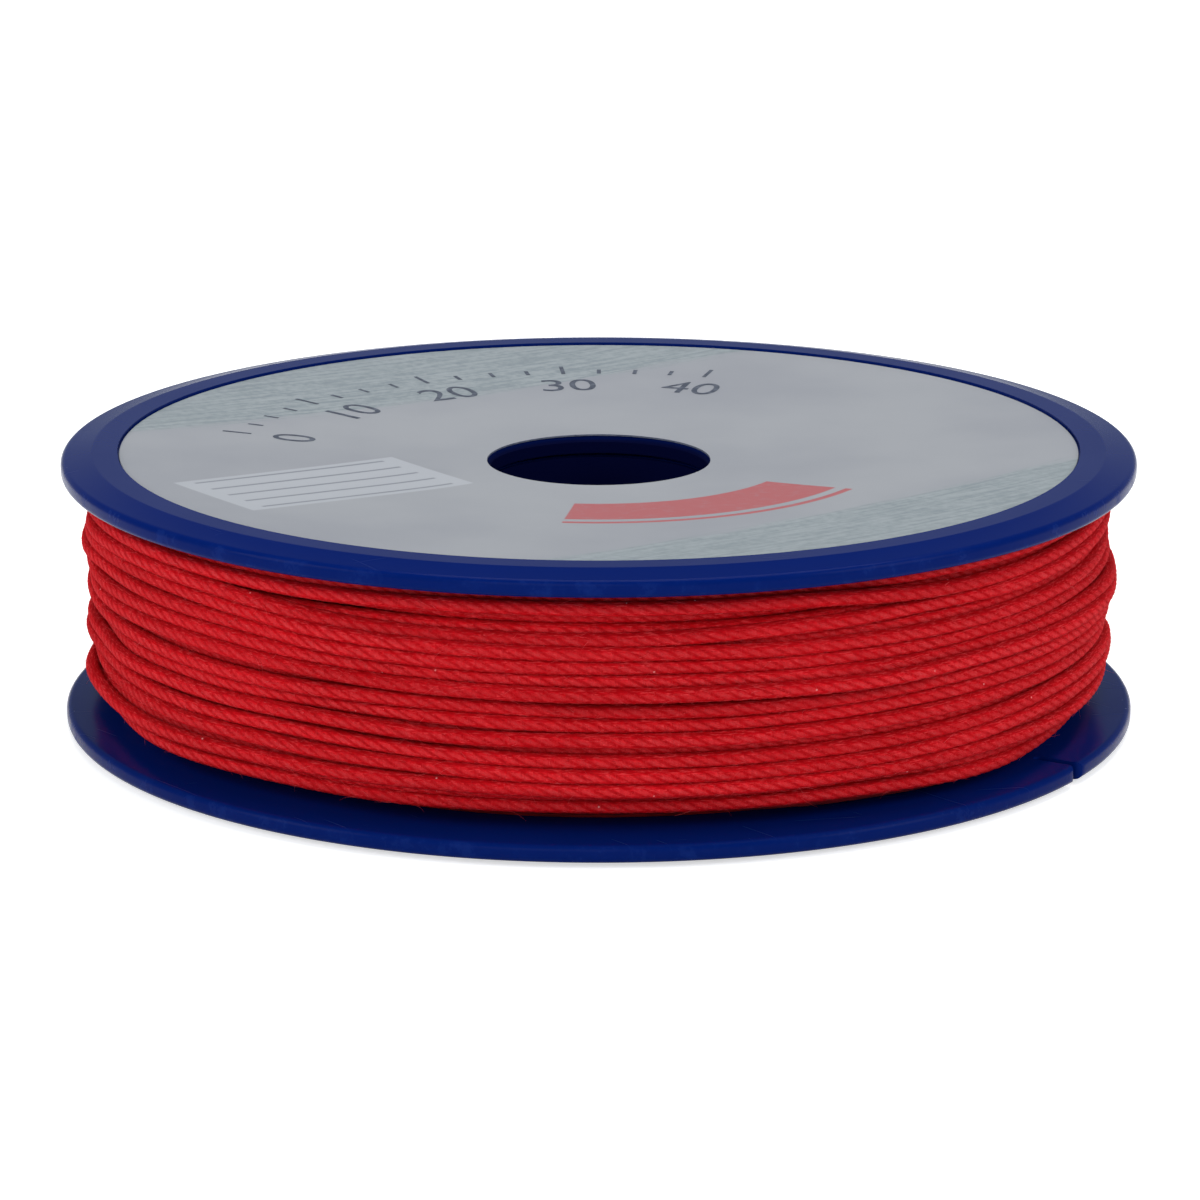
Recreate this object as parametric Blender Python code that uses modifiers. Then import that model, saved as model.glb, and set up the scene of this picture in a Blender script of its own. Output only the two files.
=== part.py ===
"""String reel: a two-part moulded reel, its label disc and the twisted twine wound on its drum.

The reel lies on its lower flange. Its axis is +Z, its origin is the centre of the face it lies
on, and all lengths are in metres.

reel_body          lower flange, drum, bore tube and the ribs between them, in one moulding
reel_cap           upper flange, slightly dished, with a slotted spigot that snaps into the drum
label_disc         round card label in its shallow seat on the cap
twine_pack         the inner layers of twine, as one plain ring
twine_outer_layer  the last layer of twine, as one unbroken tube
"""

import math

import bmesh
import bpy
import numpy as np
from mathutils import Matrix, Vector

# The reel as a whole
FLANGE_DIAMETER = 0.0780
REEL_HEIGHT = 0.0202  # over the outer faces of both flanges
FLANGE_THICKNESS = 0.0016
FIT_GAP = 0.0003  # between two pieces that seat on one another
CAP_DISH = 0.0011  # how far the upper flange dips between its rim and the hub

# Rim of both flanges: a shallow slope outside the flat of the outer face, then a rounded edge
RIM_SLOPE_WIDTH = 0.00225
RIM_SLOPE_DROP = 0.00035
RIM_EDGE_RADIUS = 0.00045

# Hub
BORE_DIAMETER = 0.0159  # turns on a 5/8 inch spindle
BORE_CHAMFER = 0.0004
BORE_TUBE_WALL = 0.0016
DRUM_DIAMETER = 0.0280
DRUM_WALL = 0.0016
DRUM_FILLET = 0.0008
RIB_COUNT = 6
RIB_THICKNESS = 0.0012
RIB_SETBACK = 0.0010  # from the underside up to the lower edges of the ribs
UNDERSIDE_RELIEF = 0.00035  # depth of the relief between the ring at the rim and the end of the hub
REST_RING_WIDTH = 0.0018
HUB_FOOT_WIDTH = 0.0016

# Spigot of the cap, slotted to straddle the ribs
SPIGOT_HEIGHT = 0.0050
SPIGOT_WALL = 0.0012
SPIGOT_LEAD_IN = 0.0004
SNAP_BEAD = 0.0005  # how far the bead stands out of the spigot, and the depth of its groove
SNAP_DEPTH = 0.0028  # from the cap's inner face to the middle of the bead
SLOT_ROOT = 0.0003  # what is left of the spigot above each slot

# Label
LABEL_BORDER = 0.0044  # from the label's edge out to the edge of the flange
LABEL_HOLE_CLEARANCE = 0.000175  # how far the edge of its hole stands back from the bore
LABEL_THICKNESS = 0.00030
LABEL_PROUD = 0.00025  # how far the label's face stands above the flange

# Catch slit in the lower rim, where the free end of the twine is nipped
SLIT_AZIMUTH = math.radians(-30.5)
SLIT_WIDTH = 0.0008
SLIT_LENGTH = 0.0035
SLIT_MOUTH_RADIUS = 0.0006

# Twine
WINDING_RECESS = 0.0019  # from the edges of the flanges in to the outer layer, half way between them
WINDING_SHOULDER = 0.0032  # how much deeper the winding lies where it meets a flange
SHOULDER_POWER = 8
TURNS = 14
TWINE_START = math.radians(90)  # behind the reel, where the ends of the layer lie
TUBE_DIAMETER = 0.00062
TURN_WANDER = 0.00015  # how far the turns wave up and down
TURN_BULGE = 0.00025  # how far a turn rises over the ones below it
LEAST_TURN_GAP = 0.0004

# Facets
REEL_SEGMENTS = 72
TURN_POINTS = 24  # points in each turn of twine, and sides of the pack under it
ARC_STEPS = 3
SLIT_ARC_STEPS = 6
PACK_STEPS = 12

# Sizes that follow from those above
RIM_RADIUS = FLANGE_DIAMETER / 2
REST_RING_INSIDE = RIM_RADIUS - RIM_SLOPE_WIDTH - REST_RING_WIDTH
BORE_RADIUS = BORE_DIAMETER / 2
BORE_TUBE_RADIUS = BORE_RADIUS + BORE_TUBE_WALL
DRUM_RADIUS = DRUM_DIAMETER / 2
DRUM_INSIDE = DRUM_RADIUS - DRUM_WALL
SPIGOT_RADIUS = DRUM_INSIDE - FIT_GAP
LOWER_INSIDE = FLANGE_THICKNESS
UPPER_INSIDE = REEL_HEIGHT - FLANGE_THICKNESS
HUB_INSIDE = UPPER_INSIDE - CAP_DISH  # inner face of the upper flange where it meets the drum
HUB_TOP = HUB_INSIDE - FIT_GAP
RIB_TOP = HUB_INSIDE - SLOT_ROOT - FIT_GAP
SNAP_LEVEL = HUB_INSIDE - SNAP_DEPTH
LABEL_RADIUS = RIM_RADIUS - LABEL_BORDER
LABEL_HOLE_RADIUS = BORE_RADIUS + LABEL_HOLE_CLEARANCE
LABEL_SEAT_RADIUS = LABEL_RADIUS + FIT_GAP
LABEL_SEAT_DEPTH = LABEL_THICKNESS - LABEL_PROUD + FIT_GAP
MID_HEIGHT = REEL_HEIGHT / 2
WINDING_RADIUS = RIM_RADIUS - WINDING_RECESS
WINDING_HALF_WIDTH = (UPPER_INSIDE - LOWER_INSIDE) / 2
TUBE_RADIUS = TUBE_DIAMETER / 2

PART_NAME = "string_reel"
SHARP_ANGLE = math.radians(30)
MERGE_DISTANCE = 0.000002


def clear_scene():
    """Removes whatever objects and collections the scene holds."""
    for obj in list(bpy.data.objects):
        bpy.data.objects.remove(obj, do_unlink=True)
    for collection in list(bpy.data.collections):
        bpy.data.collections.remove(collection)


def new_collection(name):
    collection = bpy.data.collections.new(name)
    bpy.context.scene.collection.children.link(collection)
    return collection


def new_object(name, data, collection):
    obj = bpy.data.objects.new(name, data)
    collection.objects.link(obj)
    return obj


def principled(name, color, roughness, metallic=0.0):
    """A material with one Principled BSDF."""
    material = bpy.data.materials.new(name)
    material.use_nodes = True
    shader = material.node_tree.nodes["Principled BSDF"]
    shader.inputs["Base Color"].default_value = (*color, 1.0)
    shader.inputs["Roughness"].default_value = roughness
    shader.inputs["Metallic"].default_value = metallic
    material.diffuse_color = (*color, 1.0)
    return material


# Profiles: lists of (radius, height), run down the outer side of the shape and back up its inside


def arc(centre, radius, start, end, steps=ARC_STEPS):
    """Points from angle start to angle end, in degrees, both included."""
    angles = [math.radians(start + (end - start) * i / steps) for i in range(steps + 1)]
    return [(centre[0] + radius * math.cos(a), centre[1] + radius * math.sin(a)) for a in angles]


def dished(radius, height):
    """A point of the upper flange, lowered from its level at the rim by the flange's dip."""
    share = (LABEL_SEAT_RADIUS - radius) / (LABEL_SEAT_RADIUS - DRUM_RADIUS)
    return radius, height - CAP_DISH * min(max(share, 0.0), 1.0)


def upper_rim():
    """Rim of the upper flange, from the flat of its outer face down to its inner face."""
    shoulder = RIM_RADIUS - RIM_EDGE_RADIUS
    edge_top = REEL_HEIGHT - RIM_SLOPE_DROP
    return [
        (RIM_RADIUS - RIM_SLOPE_WIDTH, REEL_HEIGHT),
        *arc((shoulder, edge_top - RIM_EDGE_RADIUS), RIM_EDGE_RADIUS, 90, 0),
        *arc((shoulder, UPPER_INSIDE + RIM_EDGE_RADIUS), RIM_EDGE_RADIUS, 0, -90),
    ]


def lower_rim():
    """The same rim upside down, from the lower flange's inner face down to its outer face."""
    return [(radius, REEL_HEIGHT - height) for radius, height in reversed(upper_rim())]


def snap_ridge(radius, widening):
    """The snap bead on a wall of this radius, from bottom to top. The groove is a wider one."""
    foot = 1.5 * SNAP_BEAD + widening
    crest = 0.5 * SNAP_BEAD + widening
    return [
        (radius, SNAP_LEVEL - foot),
        (radius + SNAP_BEAD, SNAP_LEVEL - crest),
        (radius + SNAP_BEAD, SNAP_LEVEL + crest),
        (radius, SNAP_LEVEL + foot),
    ]


def body_profile():
    """Lower flange and drum."""
    return [
        (DRUM_INSIDE, HUB_TOP),
        (DRUM_RADIUS, HUB_TOP),
        *arc((DRUM_RADIUS + DRUM_FILLET, LOWER_INSIDE + DRUM_FILLET), DRUM_FILLET, 180, 270),
        *lower_rim(),
        (REST_RING_INSIDE, 0.0),
        (REST_RING_INSIDE, UNDERSIDE_RELIEF),
        (DRUM_INSIDE + HUB_FOOT_WIDTH, UNDERSIDE_RELIEF),
        (DRUM_INSIDE + HUB_FOOT_WIDTH, 0.0),
        (DRUM_INSIDE, 0.0),
        *snap_ridge(DRUM_INSIDE, FIT_GAP),
    ]


def bore_tube_profile():
    """Tube that turns on the spindle, chamfered at its lower mouth."""
    return [
        (BORE_RADIUS, HUB_TOP),
        (BORE_TUBE_RADIUS, HUB_TOP),
        (BORE_TUBE_RADIUS, 0.0),
        (BORE_RADIUS + BORE_CHAMFER, 0.0),
        (BORE_RADIUS, BORE_CHAMFER),
    ]


def cap_profile():
    """Upper flange, dipping from its rim to the hub, with the label's seat and the spigot."""
    seat = REEL_HEIGHT - LABEL_SEAT_DEPTH
    spigot_end = HUB_INSIDE - SPIGOT_HEIGHT
    return [
        dished(BORE_RADIUS, seat - BORE_CHAMFER),
        dished(BORE_RADIUS + BORE_CHAMFER, seat),
        dished(DRUM_RADIUS, seat),
        (LABEL_SEAT_RADIUS, seat),
        (LABEL_SEAT_RADIUS, REEL_HEIGHT),
        *upper_rim(),
        (LABEL_SEAT_RADIUS, UPPER_INSIDE),
        dished(DRUM_RADIUS, UPPER_INSIDE),
        (SPIGOT_RADIUS, HUB_INSIDE),
        *reversed(snap_ridge(SPIGOT_RADIUS, 0.0)),
        (SPIGOT_RADIUS, spigot_end + SPIGOT_LEAD_IN),
        (SPIGOT_RADIUS - SPIGOT_LEAD_IN, spigot_end),
        (SPIGOT_RADIUS - SPIGOT_WALL, spigot_end),
        (SPIGOT_RADIUS - SPIGOT_WALL, HUB_INSIDE),
        (BORE_RADIUS, HUB_INSIDE),
    ]


def label_profile():
    """Label, which follows the dip of its seat."""
    face = REEL_HEIGHT + LABEL_PROUD
    back = face - LABEL_THICKNESS
    across = (LABEL_HOLE_RADIUS, DRUM_RADIUS, LABEL_RADIUS)
    return [
        *(dished(radius, face) for radius in across),
        *(dished(radius, back) for radius in reversed(across)),
    ]


def layer_radius(height):
    """Radius of the outer layer's centre line at this height: level, and deeper at the flanges."""
    share = abs(height - MID_HEIGHT) / WINDING_HALF_WIDTH
    crest = WINDING_RADIUS - TURN_BULGE - TUBE_RADIUS
    return crest - WINDING_SHOULDER * share**SHOULDER_POWER


def pack_profile():
    """Ring of inner layers. Its sides line up with the turns' points, so the gap to them is even."""
    reach = WINDING_HALF_WIDTH - FIT_GAP
    heights = [MID_HEIGHT + reach * math.cos(math.pi * i / PACK_STEPS) for i in range(PACK_STEPS + 1)]
    face = [(layer_radius(height) - TUBE_RADIUS - FIT_GAP, height) for height in heights]
    inside = (DRUM_RADIUS + FIT_GAP) / math.cos(math.pi / TURN_POINTS)
    corner = DRUM_FILLET + FIT_GAP
    return [
        dished(*face[0]),
        *face[1:],
        (inside + corner, heights[-1]),
        (inside, heights[-1] + corner),
        dished(inside, heights[0]),
    ]


# Solids


def revolve(name, profile, segments, collection):
    """A closed profile turned once round the reel's axis."""
    mesh = bpy.data.meshes.new(name)
    points = [(radius, 0.0, height) for radius, height in profile]
    edges = [(i, (i + 1) % len(points)) for i in range(len(points))]
    mesh.from_pydata(points, edges, [])
    obj = new_object(name, mesh, collection)
    screw = obj.modifiers.new("turn", "SCREW")
    screw.axis = "Z"
    screw.angle = math.tau
    screw.steps = segments
    screw.render_steps = segments
    screw.use_merge_vertices = True
    screw.merge_threshold = MERGE_DISTANCE
    screw.use_smooth_shade = True
    return obj


def radial_boxes(name, count, inner, outer, width, low, high, collection):
    """A mesh of equal boxes spread round the axis, each reaching from inner to outer radius."""
    bm = bmesh.new()
    size = Matrix.Diagonal((outer - inner, width, high - low, 1.0))
    place = Matrix.Translation(((inner + outer) / 2, 0.0, (low + high) / 2))
    for i in range(count):
        turn = Matrix.Rotation(math.tau * i / count, 4, "Z")
        bmesh.ops.create_cube(bm, size=1.0, matrix=turn @ place @ size)
    mesh = bpy.data.meshes.new(name)
    bm.to_mesh(mesh)
    bm.free()
    return new_object(name, mesh, collection)


def slit_cutter(collection):
    """Round-ended slot through the lower rim, with its two outer corners rounded away."""
    half = SLIT_WIDTH / 2
    root = RIM_RADIUS - SLIT_LENGTH + half
    mouth = RIM_RADIUS - SLIT_MOUTH_RADIUS
    clear = RIM_RADIUS + SLIT_LENGTH
    side = half + SLIT_MOUTH_RADIUS
    outline = [
        *arc((mouth, -side), SLIT_MOUTH_RADIUS, 0, 90, SLIT_ARC_STEPS),
        *arc((root, 0.0), half, 270, 90, SLIT_ARC_STEPS),
        *arc((mouth, side), SLIT_MOUTH_RADIUS, -90, 0, SLIT_ARC_STEPS),
        (clear, side),
        (clear, -side),
    ]
    curve = bpy.data.curves.new("slit_outline", "CURVE")
    curve.dimensions = "2D"
    curve.fill_mode = "BOTH"
    curve.extrude = FLANGE_THICKNESS
    spline = curve.splines.new("POLY")
    spline.points.add(len(outline) - 1)
    for point, (x, y) in zip(spline.points, outline):
        point.co = (x, y, 0.0, 1.0)
    spline.use_cyclic_u = True
    flat = new_object("slit_outline", curve, collection)
    place = Matrix.Translation((0.0, 0.0, FLANGE_THICKNESS / 2))
    flat.matrix_world = Matrix.Rotation(SLIT_AZIMUTH, 4, "Z") @ place
    return as_mesh(flat, "slit_cutter", collection)


def as_mesh(source, name, collection):
    """A mesh object made from a curve object, with its caps welded on. The curve is removed."""
    bpy.context.view_layer.update()
    depsgraph = bpy.context.evaluated_depsgraph_get()
    mesh = bpy.data.meshes.new_from_object(source.evaluated_get(depsgraph))
    bm = bmesh.new()
    bm.from_mesh(mesh)
    bmesh.ops.remove_doubles(bm, verts=bm.verts, dist=MERGE_DISTANCE)
    bmesh.ops.recalc_face_normals(bm, faces=bm.faces)
    bm.to_mesh(mesh)
    bm.free()
    obj = new_object(name, mesh, collection)
    obj.matrix_world = source.matrix_world
    bpy.data.objects.remove(source, do_unlink=True)
    return obj


def combine(obj, other, operation):
    """Adds the other solid to this one, or cuts it away."""
    boolean = obj.modifiers.new(f"{operation.lower()}_{other.name}", "BOOLEAN")
    boolean.operation = operation
    boolean.solver = "EXACT"
    boolean.object = other
    other.hide_render = True
    other.display_type = "WIRE"


def settle(obj):
    """Turns the modifiers into plain faces, smooth but for the edges that are sharp on the piece."""
    bpy.context.view_layer.update()
    depsgraph = bpy.context.evaluated_depsgraph_get()
    mesh = bpy.data.meshes.new_from_object(obj.evaluated_get(depsgraph))
    mesh.name = obj.name
    obj.modifiers.clear()
    obj.data = mesh
    mesh.shade_smooth()
    mesh.set_sharp_from_angle(angle=SHARP_ANGLE)


def give(obj, material):
    obj.data.materials.clear()
    obj.data.materials.append(material)


# Twine


def twine_route():
    """Centre line of the outer layer: an even climb, with the small waves of turns laid by a guide.

    Both ends run straight for one tube diameter, along the winding.
    """
    first = LOWER_INSIDE + FIT_GAP + TUBE_RADIUS + TURN_WANDER
    last = UPPER_INSIDE - FIT_GAP - TUBE_RADIUS - TURN_WANDER
    steps = TURNS * TURN_POINTS
    points = []
    for i in range(steps + 1):
        angle = TWINE_START + math.tau * i / TURN_POINTS
        height = first + (last - first) * i / steps
        radius = layer_radius(height) + TURN_BULGE * (0.5 + 0.5 * math.sin(2.37 * angle))
        wave = TURN_WANDER * math.sin(3.0 * angle)
        points.append(Vector((radius * math.cos(angle), radius * math.sin(angle), height + wave)))
    start = points[0] + (points[0] - points[1]).normalized() * TUBE_DIAMETER
    end = points[-1] + (points[-1] - points[-2]).normalized() * TUBE_DIAMETER
    return [start, *points, end]


def least_gap(route):
    """Least distance between the surfaces of stretches that are half a turn or more apart."""
    points = np.array([tuple(point) for point in route])
    distance = np.linalg.norm(points[:, None] - points[None, :], axis=2)
    order = np.arange(len(points))
    apart = np.abs(order[:, None] - order[None, :]) >= TURN_POINTS // 2
    return float(distance[apart].min()) - TUBE_DIAMETER


def build_twine_outer_layer(collection, material):
    route = twine_route()
    found, wanted = least_gap(route) * 1000, LEAST_TURN_GAP * 1000
    print(f"twine_outer_layer: least gap to itself {found:.2f} mm, wanted {wanted:.2f} mm")
    curve = bpy.data.curves.new("twine_outer_layer", "CURVE")
    curve.dimensions = "3D"
    curve.bevel_depth = TUBE_RADIUS
    curve.bevel_resolution = 1
    curve.use_fill_caps = True
    spline = curve.splines.new("POLY")
    spline.points.add(len(route) - 1)
    for point, place in zip(spline.points, route):
        point.co = (*place, 1.0)
    obj = new_object("twine_outer_layer", curve, collection)
    give(obj, material)
    return obj


# Pieces


def build_reel_body(parts, cutters, material):
    body = revolve("reel_body", body_profile(), REEL_SEGMENTS, parts)
    tube = revolve("bore_tube", bore_tube_profile(), REEL_SEGMENTS, cutters)
    ribs = radial_boxes(
        "ribs",
        RIB_COUNT,
        BORE_TUBE_RADIUS - BORE_TUBE_WALL / 2,
        DRUM_RADIUS - DRUM_WALL / 2,
        RIB_THICKNESS,
        RIB_SETBACK,
        RIB_TOP,
        cutters,
    )
    combine(tube, ribs, "UNION")
    combine(body, tube, "UNION")
    combine(body, slit_cutter(cutters), "DIFFERENCE")
    settle(body)
    give(body, material)


def build_reel_cap(parts, cutters, material):
    cap = revolve("reel_cap", cap_profile(), REEL_SEGMENTS, parts)
    slots = radial_boxes(
        "spigot_slots",
        RIB_COUNT,
        BORE_TUBE_RADIUS,
        DRUM_RADIUS,
        RIB_THICKNESS + 2 * FIT_GAP,
        HUB_INSIDE - 2 * SPIGOT_HEIGHT,
        HUB_INSIDE - SLOT_ROOT,
        cutters,
    )
    combine(cap, slots, "DIFFERENCE")
    settle(cap)
    give(cap, material)


def build_label_disc(parts, material):
    label = revolve("label_disc", label_profile(), REEL_SEGMENTS, parts)
    settle(label)
    give(label, material)


def build_twine_pack(parts, material):
    pack = revolve("twine_pack", pack_profile(), TURN_POINTS, parts)
    settle(pack)
    give(pack, material)


def main():
    clear_scene()
    parts = new_collection(PART_NAME)
    cutters = new_collection("cutters")
    cutters.hide_render = True
    body_plastic = principled("blue_plastic_body", (0.004, 0.022, 0.190), 0.32)
    cap_plastic = principled("blue_plastic_cap", (0.004, 0.022, 0.190), 0.32)
    card = principled("label_card", (0.560, 0.590, 0.610), 0.45)
    inner_twine = principled("inner_twine", (0.300, 0.006, 0.010), 0.85)
    outer_twine = principled("outer_twine", (0.520, 0.010, 0.018), 0.75)
    build_reel_body(parts, cutters, body_plastic)
    build_reel_cap(parts, cutters, cap_plastic)
    build_label_disc(parts, card)
    build_twine_pack(parts, inner_twine)
    build_twine_outer_layer(parts, outer_twine)


if __name__ == "__main__":
    main()
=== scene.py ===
"""String reel: the dressed model of a moulded reel, its round label and the twine wound on it.

The reel lies on its lower flange with its axis on +Z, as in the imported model. All lengths are in
metres and all angles in radians, unless a name says otherwise. -Y is the side towards the camera.
"""

import logging
import math
from dataclasses import dataclass, field
from enum import Enum

import bpy
import numpy as np
from mathutils import Matrix


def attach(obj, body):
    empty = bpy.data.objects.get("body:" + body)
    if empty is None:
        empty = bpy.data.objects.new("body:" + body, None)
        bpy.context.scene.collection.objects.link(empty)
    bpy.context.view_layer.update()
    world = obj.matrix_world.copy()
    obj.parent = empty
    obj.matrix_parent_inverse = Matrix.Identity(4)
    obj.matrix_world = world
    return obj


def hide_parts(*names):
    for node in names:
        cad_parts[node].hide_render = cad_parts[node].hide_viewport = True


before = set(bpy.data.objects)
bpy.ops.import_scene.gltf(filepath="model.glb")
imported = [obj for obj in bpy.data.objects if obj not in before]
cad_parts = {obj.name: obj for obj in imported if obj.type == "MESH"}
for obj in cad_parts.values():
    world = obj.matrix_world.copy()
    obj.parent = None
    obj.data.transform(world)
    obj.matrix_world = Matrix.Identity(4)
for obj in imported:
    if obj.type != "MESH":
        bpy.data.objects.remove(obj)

log = logging.getLogger("string_reel")

Point = tuple[float, float]
Triple = tuple[float, float, float]
Color = Triple
Socket = bpy.types.NodeSocket


def linear(red: float, green: float, blue: float) -> Color:
    """A screen colour, its red, green and blue from 0 to 255, in scene-linear values."""
    shares = (red / 255, green / 255, blue / 255)
    return tuple(s / 12.92 if s <= 0.04045 else ((s + 0.055) / 1.055) ** 2.4 for s in shares)


def smoothed(values: np.ndarray, spread: float) -> np.ndarray:
    """A row of values after a Gaussian blur that holds the first and last value.

    Args:
        values: The values, in order.
        spread: Standard deviation of the blur, in samples.

    Returns:
        As many values, smoothed.
    """
    reach = max(1, int(3 * spread))
    weights = np.exp(-0.5 * (np.arange(-reach, reach + 1) / spread) ** 2)
    padded = np.pad(values, reach, mode="edge")
    return np.convolve(padded, weights / weights.sum(), mode="valid")


def blurred(values: np.ndarray, around: float, along: float) -> np.ndarray:
    """A map after a Gaussian blur that runs on round the axis and stops at the flanges.

    Args:
        values: The map, by angle and height.
        around: Standard deviation round the axis, in columns.
        along: Standard deviation along the axis, in rows.

    Returns:
        The blurred map.
    """
    reach = int(3 * around)
    ring = np.pad(values, ((reach, reach), (0, 0)), mode="wrap")
    ring = np.apply_along_axis(smoothed, 0, ring, around)[reach:-reach]
    return np.apply_along_axis(smoothed, 1, ring, along)


def eased(share: np.ndarray) -> np.ndarray:
    """A smooth step from 0 to 1, held at 0 for shares below 0 and at 1 for shares above 1."""
    held = np.clip(share, 0.0, 1.0)
    return held * held * (3.0 - 2.0 * held)


# Sizes


@dataclass(frozen=True)
class ReelSizes:
    """Sizes that the mouldings, the label and the twine share."""

    rim_radius: float = 0.0390
    height: float = 0.0202
    flange_thickness: float = 0.0016
    fit_gap: float = 0.0003
    cap_dish: float = 0.0011
    dish_ease: float = 0.0025
    dish_step: float = 0.0015
    rim_slope_width: float = 0.00225
    rim_slope_drop: float = 0.00035
    rim_edge_radius: float = 0.00045
    bore_radius: float = 0.00795
    bore_chamfer: float = 0.0004
    bore_tube_wall: float = 0.0016
    drum_radius: float = 0.0140
    drum_wall: float = 0.0016
    snap_bead: float = 0.0005
    snap_depth: float = 0.0028
    rib_count: int = 6
    rib_thickness: float = 0.0012
    slot_root: float = 0.0003
    label_radius: float = 0.0346
    label_hole_radius: float = 0.008125
    label_thickness: float = 0.00030
    label_proud: float = 0.00025

    @property
    def lower_inside(self) -> float:
        """Height of the lower flange's inner face."""
        return self.flange_thickness

    @property
    def upper_inside(self) -> float:
        """Height of the upper flange's inner face."""
        return self.height - self.flange_thickness

    @property
    def drum_inside(self) -> float:
        """Radius of the drum's inner wall."""
        return self.drum_radius - self.drum_wall

    @property
    def hub_inside(self) -> float:
        """Height of the upper flange's inner face at the drum."""
        return self.upper_inside - self.cap_dish

    @property
    def hub_top(self) -> float:
        """Height at which the drum and the bore tube end."""
        return self.hub_inside - self.fit_gap

    @property
    def label_seat_radius(self) -> float:
        """Radius of the label's seat, outside which the upper flange is level."""
        return self.label_radius + self.fit_gap

    @property
    def label_seat_depth(self) -> float:
        """Depth of the label's seat below the outer face."""
        return self.label_thickness - self.label_proud + self.fit_gap

    def dip(self, radius: float) -> float:
        """How far the upper flange lies below its rim, easing off where it meets the hub.

        Args:
            radius: The distance from the axis.

        Returns:
            The depth.
        """
        out = min(radius, self.label_seat_radius) - self.drum_radius
        climbed = (out + math.hypot(out, self.dish_ease)) / 2
        span = self.label_seat_radius - self.drum_radius
        return self.cap_dish * (1.0 - min(climbed / span, 1.0))

    def dished(self, height: float, start: float, end: float) -> list[Point]:
        """Points of a face of the upper flange, between two radii, that is this high at the rim."""
        radii = np.linspace(start, end, int(abs(end - start) / self.dish_step) + 2)
        return [(float(radius), height - self.dip(float(radius))) for radius in radii]


# Shader nodes


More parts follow.
